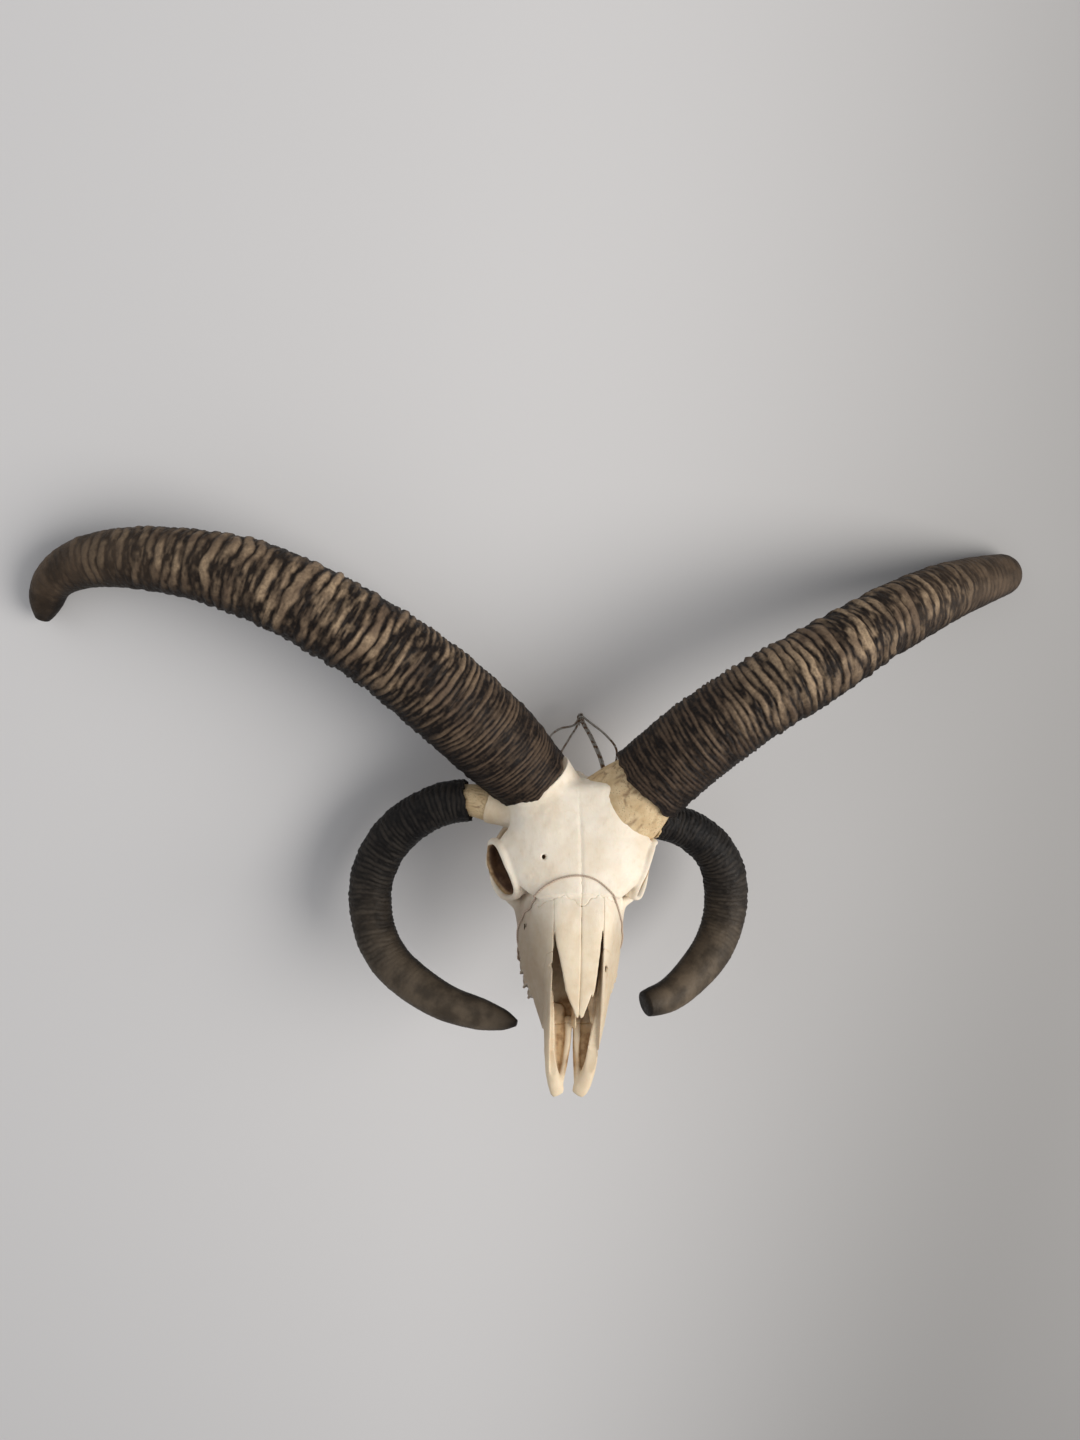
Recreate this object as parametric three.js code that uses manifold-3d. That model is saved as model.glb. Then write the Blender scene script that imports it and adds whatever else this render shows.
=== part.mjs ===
// A four-horned ram skull without its lower jaw, life size, lying on the tips of its upper horns and on the
// process behind its right ear, with its nose up.
//
// Everything is drawn in the skull's own frame, in millimetres, and the whole is tipped onto the floor last:
//   x  to the animal's left
//   y  from the nose towards the crown
//   z  out of the forehead, away from the palate
// The origin is the nasion, where the nasal bones meet the forehead. The palate is parallel to y.
import * as THREE from "three";
import { mergeVertices } from "three/addons/utils/BufferGeometryUtils.js";
import Module from "manifold-3d";

const wasm = await Module();
wasm.setup();
const { Manifold, Mesh } = wasm;

// ---------------------------------------------------------------- driving dimensions, mm
const GAP = 0.35; // between neighbouring pieces
const FINEST = 0.25; // shorter edges than this are closed up
const BONE_WALL = 3; // thickness of the walls round the nasal cavity
const PALATE_Z = -70; // level of the hard palate
const WIRE_R = 1.0; // radius of the hanging wire
const STRING_R = 0.7; // radius of the string round the muzzle

// What it lies on, in the skull's own frame: the tips of both upper horns, and the process behind the
// right ear.
const RESTS_ON = [[368.4, 267, 41.7], [-384.6, 225.9, 41], [-27.5, 113.4, -89]];

// ---------------------------------------------------------------- materials
function paint(color, roughness, metalness = 0) {
  return new THREE.MeshStandardMaterial({ color, roughness, metalness });
}
const MATERIALS = {
  bone: paint(0xe9dfcb, 0.62),
  core: paint(0xcdb68c, 0.8),
  tooth: paint(0xd9c9a2, 0.4),
  upperHorn: paint(0x4a382a, 0.55),
  lowerHorn: paint(0x2f2823, 0.5),
  wire: paint(0x77726c, 0.45, 0.85),
  string: paint(0xa98a70, 0.85),
};

// ---------------------------------------------------------------- geometry helpers
const vec = (x, y, z) => new THREE.Vector3(x, y, z);
const mix = THREE.MathUtils.lerp;
const mirrored = (p) => vec(-p.x, p.y, p.z);
const points = (list) => list.map((p) => vec(...p));

// A geometry as a solid: only the shared positions are kept, and faces that point inwards are turned round.
function solid(geometry) {
  const bare = new THREE.BufferGeometry();
  bare.setAttribute("position", geometry.getAttribute("position"));
  if (geometry.index) bare.setIndex(geometry.index);
  const merged = mergeVertices(bare, 1e-3);
  const triVerts = [];
  const ids = merged.index.array;
  for (let i = 0; i < ids.length; i += 3) {
    const [a, b, c] = [ids[i], ids[i + 1], ids[i + 2]];
    if (a !== b && b !== c && a !== c) triVerts.push(a, b, c);
  }
  const vertProperties = merged.attributes.position.array;
  const make = (list) => {
    const mesh = { numProp: 3, vertProperties, triVerts: new Uint32Array(list), tolerance: FINEST };
    return new Manifold(new Mesh(mesh));
  };
  const made = make(triVerts);
  return made.volume() > 0 ? made : make(triVerts.reverse());
}

// A solid back as a geometry for a mesh.
function geometryOf(body) {
  const mesh = body.getMesh();
  const position = new Float32Array(mesh.numVert * 3);
  for (let i = 0; i < mesh.numVert; i++) {
    for (let k = 0; k < 3; k++) position[i * 3 + k] = mesh.vertProperties[i * mesh.numProp + k];
  }
  const geometry = new THREE.BufferGeometry();
  geometry.setAttribute("position", new THREE.BufferAttribute(position, 3));
  geometry.setIndex(new THREE.BufferAttribute(new Uint32Array(mesh.triVerts), 1));
  return geometry;
}

const union = (...bodies) => bodies.flat().reduce((a, b) => a.add(b));
const both = (body) => [body, solid(geometryOf(body).scale(-1, 1, 1))];

// The largest lump of a body, without any hollow closed up inside it.
function largest(body) {
  const biggest = (b) => b.decompose().reduce((p, q) => (q.volume() > p.volume() ? q : p));
  return solid(geometryOf(biggest(solid(geometryOf(biggest(body))))));
}

// A closed skin of rings: place(angle, t, r) gives the point at that angle of the ring t, on it at r = 1.
function skin(sides, steps, place) {
  const tube = new THREE.CylinderGeometry(1, 1, 1, sides, steps);
  const at = tube.getAttribute("position");
  for (let i = 0; i < at.count; i++) {
    const r = Math.hypot(at.getX(i), at.getZ(i));
    const angle = Math.atan2(at.getX(i), at.getZ(i));
    const p = place(angle, at.getY(i) + 0.5, r > 0.5 ? 1 : 0);
    at.setXYZ(i, p.x, p.y, p.z);
  }
  return solid(tube);
}

// A value between the entries of a list, eased through them as a spline.
function along(list, t) {
  const curve = new THREE.CatmullRomCurve3(list.map((v, i) => vec(i, v, 0)));
  return curve.getPoint(t).y;
}

// A bar along a curve. a and b are half its size across and along `face`, a number or a list from end to end.
function bar(points, a, b, face, { sides = 10, steps = 12, extra = 0, closed = false } = {}) {
  const curve = new THREE.CatmullRomCurve3(points, closed, "centripetal");
  const across = [a].flat();
  const deep = [b].flat();
  const size = (list, t) => (list.length > 1 ? along(list, t) : list[0]) + extra;
  return skin(sides, steps, (angle, t, r) => {
    const p = curve.getPoint(t);
    const tangent = curve.getTangent(t);
    const side = tangent.clone().cross(face).normalize();
    const up = side.clone().cross(tangent).normalize();
    p.addScaledVector(side, r * Math.cos(angle) * size(across, t));
    p.addScaledVector(up, r * Math.sin(angle) * size(deep, t));
    if (extra && (t < 1e-6 || t > 1 - 1e-6)) p.addScaledVector(tangent, t < 0.5 ? -extra : extra);
    return p;
  });
}

// An ellipsoid, turned by Euler angles in degrees.
function blob(centre, radii, turn = [0, 0, 0], sides = 14) {
  const ball = new THREE.SphereGeometry(1, sides, Math.round(sides * 0.7));
  ball.scale(...radii);
  const [x, y, z] = turn.map(THREE.MathUtils.degToRad);
  ball.applyMatrix4(new THREE.Matrix4().makeRotationFromEuler(new THREE.Euler(x, y, z)));
  ball.translate(...centre);
  return solid(ball);
}

// A slab with the given outline: seen from above (x, y) between two levels of z, or from the side (y, z)
// between two levels of x.
const SIDE_ON = new THREE.Matrix4().set(0, 0, 1, 0, 1, 0, 0, 0, 0, 1, 0, 0, 0, 0, 0, 1);
function slab(view, outline, low, high) {
  const shape = new THREE.Shape(outline.map(([a, b]) => new THREE.Vector2(a, b)));
  const block = new THREE.ExtrudeGeometry(shape, { depth: high - low, bevelEnabled: false });
  block.translate(0, 0, low);
  if (view === "side") block.applyMatrix4(SIDE_ON);
  return solid(block);
}

// A suture: a thin wall along a line, which parts two bones. Its line is drawn as for a slab.
function suture(view, line, low, high) {
  const at = line.map(([a, b]) => new THREE.Vector2(a, b));
  const edge = (sign) =>
    at.map((p, i) => {
      const before = at[Math.max(i - 1, 0)];
      const after = at[Math.min(i + 1, at.length - 1)];
      const way = after.clone().sub(before).normalize();
      return [p.x - (way.y * sign * GAP) / 2, p.y + (way.x * sign * GAP) / 2];
    });
  return slab(view, [...edge(1), ...edge(-1).reverse()], low, high);
}

// The lump that holds a point.
function lumpAt(body, point) {
  const probe = blob(point, [0.7, 0.7, 0.7], [0, 0, 0], 6);
  return largest(body.decompose().find((lump) => lump.intersect(probe).volume() > 1e-3));
}

// A body through stations along y. Each station is [y, [x, z], ...]: half an outline, from the middle of the
// top round to the middle of the bottom. `inset` moves the outline inwards.
function hull(stations, { around = 28, steps = 16, inset = 0 } = {}) {
  const ys = new THREE.CatmullRomCurve3(stations.map(([y], i) => vec(y, i, 0)));
  const tracks = stations[0].slice(1).map((_, k) => {
    const points = stations.map((s) => vec(s[k + 1][0], s[0], s[k + 1][1]));
    return new THREE.CatmullRomCurve3(points, false, "catmullrom", 0.5);
  });
  const ringAt = (t) => {
    const half = tracks.map((track) => track.getPoint(t));
    const other = half.slice(1, -1).reverse().map(mirrored);
    return new THREE.CatmullRomCurve3([...half, ...other], true, "centripetal");
  };
  const rings = new Map();
  return skin(around, steps, (angle, t, r) => {
    const key = t.toFixed(5);
    if (!rings.has(key)) {
      const curve = ringAt(t);
      const middle = curve.getPoints(12).reduce((s, p) => s.add(p), vec(0, 0, 0)).divideScalar(13);
      middle.x = 0;
      rings.set(key, { curve, middle });
    }
    const { curve, middle } = rings.get(key);
    if (!r) return middle.clone();
    const u = (angle / (2 * Math.PI) + 1) % 1;
    const p = curve.getPoint(u);
    if (!inset) return p;
    const inwards = middle.clone().sub(p);
    const distance = inwards.length();
    return p.addScaledVector(inwards, Math.min(inset / distance, 0.9));
  });
}

// ---------------------------------------------------------------- the face
// Half outlines: roof, nasal edge, upper cheek, lower cheek, tooth margin, edge and middle of the palate.
const MUZZLE = [
  [-83, [0, -41], [11, -42.5], [18.5, -50], [21.5, -60], [22.5, -70], [13, -72.5], [0, PALATE_Z - 1]],
  [-60, [0, -26], [15, -28], [22.5, -40], [27.5, -56], [28.5, -71], [17, -72.5], [0, PALATE_Z]],
  [-44, [0, -17.5], [17, -20], [25.5, -34], [33, -54], [34.5, -70], [20, -72], [0, PALATE_Z]],
  [-25, [0, -9], [18.5, -11.5], [28, -27], [36.5, -52], [38, -68], [22, -72], [0, PALATE_Z]],
  [-8, [0, -2.5], [20, -5], [31, -22], [38.5, -48], [37, -68], [22, -72], [0, PALATE_Z]],
  [6, [0, -2], [21, -6], [32, -21], [39, -44], [36, -68], [21, -72], [0, PALATE_Z]],
  [28, [0, -14], [18, -16], [27, -27], [30, -44], [32, -66], [19, -71], [0, PALATE_Z]],
];
const muzzle = hull(MUZZLE, { around: 16, steps: 7 });

// The nasal cavity is open in front, so its outline runs on past the end of the muzzle.
const CAVITY = [
  [-96, [0, -45], [14, -47], [20, -55], [22, -62], [21, -68], [13, -70], [0, -68]],
  ...MUZZLE.slice(0, 5),
  [3, [0, -10], [9, -12], [15, -24], [17, -44], [15, -58], [9, -64], [0, -64]],
];
const cavity = hull(CAVITY, { around: 10, steps: 6, inset: BONE_WALL + 1 });

// Each cheek tooth: how far along the row, how far out, and half its length and width.
const TEETH = [
  [-53, 27, 4.6, 4.6],
  [-44, 29.5, 5.6, 5.6],
  [-33, 31, 6.4, 6.4],
  [-19.5, 31.5, 8, 7],
  [-3, 31, 9.6, 7.2],
  [15.5, 29, 10.4, 6.8],
];
const TOOTH_ROOT_Z = -66;
const TOOTH_END_Z = -87.5;
function tooth([y, x, long, wide]) {
  const crown = new THREE.CylinderGeometry(1.16, 1.42, TOOTH_ROOT_Z - TOOTH_END_Z, 4, 1);
  crown.rotateX(-Math.PI / 2).rotateZ(Math.PI / 4).scale(wide, long, 1);
  crown.translate(x, y, (TOOTH_ROOT_Z + TOOTH_END_Z) / 2);
  return solid(crown);
}

// Each premaxilla is a bar along the nasal opening with a pad at its tip, and a rod beside the midline.
const lean = (y) => 0.12 * Math.min(0, y + 80); // the tip of the snout leans a little to the right
const leaning = (side, list) => list.map(([x, y, z]) => vec(side * x + lean(y), y, z));
const UPWARD = vec(0, 0, 1);
function premaxilla(side) {
  const inward = side > 0 ? 2.4 : 0; // the left bar is the nearer to the midline
  const edge = [
    [18.5 - inward, -46, -26], [19.5 - inward, -60, -38], [19.4 - inward, -76, -49],
    [18 - inward, -92, -57.5], [15.6 - inward / 2, -108, -63], [11.6, -120, -66.5], [8.6, -127, -69],
    [6.8, -130.5, -70.5],
  ];
  const edgeAcross = [2.2, 2.6, 3.2, 3.8, 4.4, 5, 5.4, 4];
  const edgeDeep = [3, 4.4, 5.6, 5.6, 5, 3.6, 2.8, 1.4];
  const rod = [[7.8, -126, -69.5], [5.8, -114, -69], [4.2, -103, -68.5], [3.5, -90, -68], [3.5, -74, -67.5]];
  const shelf = [[13.4, -64, -67.5], [12.4, -84, -68.5], [11.4, -100, -69.5], [9.6, -115, -70]];
  return union(
    bar(leaning(side, edge), edgeAcross, edgeDeep, UPWARD, { sides: 6, steps: 8 }),
    bar(leaning(side, rod), [3.2, 2.8, 2.8], [2.4, 2.3, 2.4], UPWARD, { sides: 5, steps: 4 }),
    bar(leaning(side, shelf), [8.4, 7.4, 6.4, 4.6], [2, 1.9, 1.9, 1.8], UPWARD, { sides: 4, steps: 3 }),
  );
}

// ---------------------------------------------------------------- the roof of the skull and the braincase
// Half outlines of the roof: middle, inner slope, upper margin, edge over the eye, lower margin, underside.
const ROOF = [
  [-1, [0, 0.6], [12, -0.4], [24, -4], [30, -12], [22, -16], [0, -14]],
  [10, [0, 3], [18, 1], [37, -7], [43, -15], [31, -19], [0, -18]],
  [20, [0, 5.2], [22, 3.5], [43, -5], [50.5, -12], [37, -16], [0, -20]],
  [32, [0, 7.6], [26, 6], [45, -2], [53, -10], [40, -16], [0, -22]],
  [43, [0, 9.4], [28, 8], [47, -1], [57, -11], [44, -17], [0, -24]],
  [54, [0, 10.6], [29, 9.5], [43, 3], [50, -9], [40, -18], [0, -24]],
  [68, [0, 11.5], [30, 11], [44, 6], [50, -8], [42, -22], [0, -26]],
  [80, [0, 9.5], [26, 11], [42, 5], [46, -8], [38, -20], [0, -24]],
  [91, [0, -8], [20, -6], [34, -8], [38, -15], [30, -22], [0, -24]],
];
const roof = hull(ROOF, { around: 16, steps: 9 });
const BRAINCASE = [
  [4, [0, -12], [16, -14], [25, -24], [25, -40], [20, -58], [10, -64], [0, -64]],
  [30, [0, -12], [18, -14], [27, -22], [26, -38], [18, -56], [9, -62], [0, -62]],
  [60, [0, -12], [26, -14], [36, -22], [36, -36], [24, -54], [11, -63], [0, -63]],
  [82, [0, -10], [30, -13], [41, -26], [41, -40], [30, -56], [12, -67], [0, -67]],
  [96, [0, -20], [24, -22], [37, -32], [41, -44], [34, -58], [14, -68], [0, -68]],
  [108, [0, -40], [20, -41], [33, -45], [36, -53], [30, -62], [13, -67], [0, -67]],
];
const braincase = hull(BRAINCASE, { around: 12, steps: 5 });

// ---------------------------------------------------------------- the orbits and the cheek arches
const ORBIT = {
  centre: vec(54, 26, -28.5),
  out: vec(0.84, -0.48, 0.25).normalize(),
  radius: 22,
  squeeze: 0.84,
};
// The rim of the left orbit, from the front round over the top.
const RIM = [
  [44.5, 7, -30],
  [45, 11, -17],
  [51.5, 24, -10],
  [57.5, 40, -11],
  [61.5, 46, -20],
  [61.5, 45.5, -33],
  [60, 36, -44],
  [57.5, 22.5, -48],
  [51.5, 10.5, -43.5],
];
const rim = bar(points(RIM), 2.6, 3.6, ORBIT.out, { closed: true, sides: 4, steps: 12 });

// A cone about the orbit's axis, from inside the skull out to the rim.
function orbitCone(inner, outer, from, to) {
  const cone = new THREE.CylinderGeometry(outer, inner, to - from, 10, 1);
  cone.translate(0, (from + to) / 2, 0);
  const z = UPWARD.clone().addScaledVector(ORBIT.out, -UPWARD.dot(ORBIT.out)).normalize();
  const x = ORBIT.out.clone().cross(z);
  cone.scale(1, 1, ORBIT.squeeze);
  cone.applyMatrix4(new THREE.Matrix4().makeBasis(x, ORBIT.out, z).setPosition(ORBIT.centre));
  return solid(cone);
}
const orbitWall = orbitCone(15, ORBIT.radius + 2, -34, -1);
const socket = orbitCone(8, ORBIT.radius, -32, 8);

// Behind the orbit the temple is open between the braincase and the arch.
const TEMPLE = [[47, -64], [40, -46], [44, -24], [54, -22], [66, -40], [84, -42], [84, -62]];
const temple = slab("side", TEMPLE, 40, 72);
const ARCH = [[60.5, 34, -47], [61, 46, -51.5], [54.5, 58, -55], [46, 70, -56], [38, 80, -53]];
const arch = bar(points(ARCH), [4, 2.8, 2.6, 2.8, 5], [6, 5, 4.4, 4.6, 6], UPWARD, { sides: 5, steps: 5 });
const CHEEK = [[33, -24, -58], [35, -8, -55], [39, 6, -52], [50, 14, -48]];
const cheek = bar(points(CHEEK), [5, 5, 5, 4], [6, 8, 7, 5], UPWARD, { sides: 6, steps: 3 });

// ---------------------------------------------------------------- the base of the skull
const NUCHAL = [[-34, 97, -50], [-24, 102, -43], [0, 103, -42], [24, 102, -43], [34, 97, -50]];
const nuchal = bar(points(NUCHAL), [4, 5, 4], [5, 4.5, 5], UPWARD, { sides: 5, steps: 5 });
const condyle = blob([13, 111, -61], [9, 10, 9.5], [20, 0, 20], 7);
const PAROCCIPITAL = [[31, 101, -56], [31, 106, -70], [28.5, 110, -81], [26.5, 111, -89]];
const paroccipitalSize = [[6, 4.6, 3.4, 2], [8, 6.5, 5, 2.8]];
const paroccipital = bar(points(PAROCCIPITAL), ...paroccipitalSize, vec(0, 1, 0), { sides: 6, steps: 4 });
const bulla = blob([20, 90, -69], [7, 12, 8], [0, 0, 12], 7);
const BASE = [[0, 30, -62], [0, 60, -63], [0, 88, -66], [0, 104, -67], [0, 116, -65]];
const base = bar(points(BASE), [7, 9, 8, 12, 10], [5, 5, 5, 6, 5], UPWARD, { sides: 6, steps: 4 });
const HAMULUS = [[13, 30, -66], [12.5, 44, -70], [12, 52, -78]];
const hamulus = bar(points(HAMULUS), [2, 1.6, 1.4], [8, 8, 3], UPWARD, { sides: 4, steps: 3 });
const foramenMagnum = blob([0, 119, -52], [9, 20, 8], [-12, 0, 0], 8);
const earHole = blob([43, 88, -55], [8, 2.8, 2.8], [0, 0, -6], 6);
const browHole = blob([27, 26.5, 5], [1.8, 3, 10], [12, 0, 0], 6);
const cheekHole = blob([30.5, -54, -48], [5, 3, 2.2], [0, 0, -25], 6);

// ---------------------------------------------------------------- the horns
// A horn: the line of its middle, its width and depth seen with the face square on, and how blunt it ends.
const FACE_ON = vec(-0.126, -0.43, 0.894).normalize(); // the way the broad side of the horns looks
const HORNS = {
  upper_left: {
    line: [
      [54.6, 85.4, -2.5], [90, 109, 29.2], [131.8, 132.2, 56], [177.7, 156.2, 70.2],
      [229.6, 188.6, 73.4], [279, 217.3, 68], [327, 241.2, 58], [372, 261.6, 46.4],
    ],
    width: [66, 65, 63, 61, 55, 51, 43.5, 32],
    depth: [67, 67, 65, 62, 56, 51, 43, 32],
    core: [
      [34.8, 70.4, -20.4], [46, 78.4, -10.9], [56.5, 86, -1.5], [90, 109, 29.2], [131.5, 132, 56],
      [160, 146.5, 66],
    ],
    coreSize: [70, 65, 57, 49, 38, 20],
    blunt: 0.5,
  },
  upper_right: {
    line: [
      [-31, 92, -8.4], [-78, 121, 29], [-133, 152, 63], [-185.4, 176, 83.6], [-237, 195.5, 94.2],
      [-285, 208, 92.4], [-328, 217, 81.4], [-359.8, 220.2, 66.4], [-382, 214.6, 49.4],
      [-393, 197.5, 27.5],
    ],
    width: [61, 69.5, 69, 64, 62.5, 58.5, 50.5, 43, 34.5, 21],
    depth: [66, 67, 66, 63, 60, 56, 49, 41, 33, 21],
    core: [[-24.5, 87, -13.5], [-33, 93.5, -6.8], [-78, 121, 29], [-133, 152, 63], [-160, 164.5, 74]],
    coreSize: [51, 52, 50, 38, 20],
    blunt: 0.55,
  },
  lower_left: {
    line: [
      [70, 70.6, -36.8], [81, 69.6, -41], [98, 66.8, -48], [117, 58.8, -60.5], [131.2, 44.2, -74.2],
      [137.4, 25, -91.2], [135.8, 5.3, -103], [126.6, -14.4, -109], [108, -35.2, -111.7],
      [87.2, -51.3, -109.1], [65.6, -59.4, -104],
    ],
    width: [32, 33, 35, 36, 36.5, 36, 35, 33, 30, 27, 23],
    depth: [29, 30, 31, 31, 31.5, 31.5, 31, 29, 27, 24.5, 21],
    core: [[66, 66.6, -36], [80, 69, -41], [97, 66, -48], [115.5, 57.6, -60.5], [124, 50, -68]],
    coreSize: [24, 22, 21, 17, 9],
    blunt: 0.94,
  },
  lower_right: {
    line: [
      [-79, 82.4, -29.4], [-98, 81.4, -36], [-124, 72.8, -54], [-142.4, 57.4, -74], [-151.8, 34.2, -92],
      [-149, 4, -104], [-137, -20, -108], [-121.6, -36.4, -106.2], [-94.3, -56, -99.6],
      [-70.2, -66.2, -92.8], [-40.5, -76.4, -81],
    ],
    width: [35, 35, 35.5, 35.5, 35, 34, 32.5, 31, 28, 24, 11],
    depth: [31, 32, 32, 32, 31.5, 31, 30, 28.5, 26, 21.5, 11],
    core: [[-62, 77.6, -25.6], [-79, 82.4, -29.4], [-98, 81.4, -36], [-124, 72.8, -54], [-133, 67, -62]],
    coreSize: [27, 25, 22, 17, 9],
    blunt: 0.5,
  },
};

// The line is walked evenly, and the last stretch is rounded in to `blunt` times its size.
const ROUNDED = 0.04;
function hornOutside(horn, sides, steps, extra = 0) {
  const curve = new THREE.CatmullRomCurve3(points(horn.line), false, "centripetal");
  return skin(sides, steps, (angle, t, r) => {
    const tangent = curve.getTangentAt(t);
    const p = curve.getPointAt(t);
    const across = tangent.clone().cross(FACE_ON).normalize();
    const up = across.clone().cross(tangent).normalize();
    const close = mix(1, horn.blunt, Math.max(0, (t - 1 + ROUNDED) / ROUNDED) ** 2);
    p.addScaledVector(across, r * Math.cos(angle) * ((close * along(horn.width, t)) / 2 + extra));
    p.addScaledVector(up, r * Math.sin(angle) * ((close * along(horn.depth, t)) / 2 + extra));
    return t < 1e-6 ? p.addScaledVector(tangent, -extra) : p;
  });
}
function hornCore(horn, extra = 0) {
  const radii = horn.coreSize.map((d) => d / 2);
  const sides = radii[0] > 30 ? 12 : 8;
  return bar(points(horn.core), radii, radii, FACE_ON, { sides, steps: 4, extra });
}

// Where the horns stand on the skull. The left upper one shows a band of its core below the sheath.
// Each is its line and half its size across and deep.
const BOSSES = [
  [[[14, 57, -36], [23, 63, -30.4], [34.4, 70.1, -20.8]], [24, 30, 34.6], [24, 30, 34.6]],
  [[[-12, 66, -22], [-21, 82, -17.5], [-30, 91.3, -9.2]], [30, 30, 30.4], [28, 29.5, 31.4]],
  [[[34, 60, -24], [52, 63.6, -30], [65.6, 66.5, -35.8]], [12, 13, 12.2], [14, 14, 12.2]],
  [[[-32, 64, -18], [-48, 71, -22], [-61.6, 77.4, -25.5]], [12, 13, 14], [14, 14, 14]],
];
const bosses = BOSSES.map(([line, across, deep]) => {
  const upper = across[0] > 20;
  return bar(points(line), across, deep, FACE_ON, { sides: upper ? 9 : 7, steps: upper ? 2 : 1 });
});

// ---------------------------------------------------------------- the hanging wire and the muzzle string
// Five wires run from the bend that was hooked over a nail to holes in the back of the skull.
const WIRES = [
  [[14.4, 160, -33], [16, 150, -30], [20.6, 132, -22], [25.6, 105, -13], [25, 92, -14]],
  [[12.6, 160, -33], [14.2, 150, -30], [18.8, 132, -22], [23.8, 105, -13], [23.2, 92, -14]],
  [[13.5, 159, -33], [8, 149, -31], [-5, 143, -27], [-15, 132, -21], [-22, 112, -24], [-23, 92, -32]],
  [[13.5, 158, -33], [9.5, 147, -31], [1.6, 133, -23], [-7.5, 116, -19], [-12, 98, -21], [-13, 86, -22]],
  [[13.5, 159, -33], [21, 152.4, -33], [33, 139.5, -30], [40, 125, -27], [37, 108, -34], [30, 94, -38]],
];
const wireOf = (extra) =>
  union(WIRES.map((w) => bar(points(w), WIRE_R, WIRE_R, vec(1, 0, 0), { sides: 4, steps: 5, extra })));
const STRING = [
  [0, 11.4, 5.3], [12, 8, 4.2], [24, -1, -3.2], [33.4, -9, -21], [39.8, -14, -42], [41.4, -22, -58],
  [41.6, -27, -74], [34, -31, -89.6], [0, -33, -89.6], [-34, -31, -89.6], [-41.6, -23, -74],
  [-42, -14, -58], [-40.4, -6.4, -42], [-37, -2, -25], [-33.6, 1, -12.6], [-25, 6.6, 0.2],
  [-12, 10.6, 4.8],
];
function stringOf(extra) {
  const loop = new THREE.CatmullRomCurve3(points(STRING), true, "centripetal");
  return solid(new THREE.TubeGeometry(loop, 28, STRING_R + extra, 4, true));
}

// ---------------------------------------------------------------- the skull in one piece
// Seen from above, what is open beside the nasal bones and in front of them.
const BESIDE_NASALS = [
  [-19.6, -18], [-18.2, -30], [-15.8, -41], [-13.2, -52], [-10.5, -63], [-6.5, -72], [-2.6, -80],
  [-0.8, -81.5], [0, -79], [1.4, -81.5], [3.4, -80], [6.4, -72], [8.4, -66], [9.4, -68.5], [10.6, -63],
  [12, -52], [13.4, -41], [14.8, -30], [16, -18], [16.4, -44], [24, -50], [27, -100],
  [-27, -100], [-27, -50], [-19.8, -44],
];
// Seen from the side, what lies above the upper edges of the premaxillae.
const ABOVE_EDGES = [
  [-16, 20], [-16, -34], [-40, -34], [-44, -27], [-60, -39], [-76, -50], [-98, -58], [-98, 20],
];
const nostril = slab("plan", BESIDE_NASALS, -70, 20).intersect(slab("side", ABOVE_EDGES, -30, 30));

const whole = union(muzzle, braincase, roof, both(orbitWall), both(cheek))
  .subtract(union(cavity, nostril, both(temple)))
  .add(union(bosses))
  .subtract(union(both(socket)))
  .add(union(both(rim), both(arch), nuchal, base))
  .add(union(both(condyle), both(paroccipital), both(bulla), both(hamulus)))
  .add(union(TEETH.flatMap((t) => both(tooth(t))), premaxilla(1), premaxilla(-1)))
  .subtract(union(foramenMagnum, both(earHole), both(browHole), both(cheekHole)))
  .subtract(union(wireOf(GAP), stringOf(GAP)));

// ---------------------------------------------------------------- parted at the sutures
// Seen from above: the zigzag between the nasal and the frontal bones.
const NASOFRONTAL = [
  [-60, -6], [-30, -5], [-19.4, -3], [-13, -1], [-7, -4], [-2.4, -8], [0, -9.5],
  [2.4, -8], [7, -4], [13, -1], [19.4, -3], [30, -5], [60, -6],
];
// Seen from the side: the lower edge of the frontal bones, then the front edge of the braincase.
const UNDER_FRONTALS = [
  [-16, -19], [2, -19.2], [46, -22], [52, -47.5], [78, -47.5], [94, -24], [112, -12], [130, -6],
];
const BEFORE_BRAINCASE = [[2, -19.2], [4, -40], [10, -56], [30, -60], [31, -110]];
const BEHIND_PREMAXILLA = [[-44, -33], [-60, -45.5], [-74, -57], [-80, -64], [-80, -90]];
const ABOVE_PREMAXILLA = [[-33, 20], [-38, -26], BEHIND_PREMAXILLA[0]];
const ROUND_ZYGOMATIC = [[-2, -18], [-3, -38], [-12, -52], [-4, -61], [20, -59], [44, -66], [110, -66]];
const INSIDE_ZYGOMATIC = [[30, -16], [30, 44], [39, 56], [39, 68], [62, 86]];
const UNDER_NASALS = [[-30, -18], [-14, -11.8], [8, -8.6]];

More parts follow.
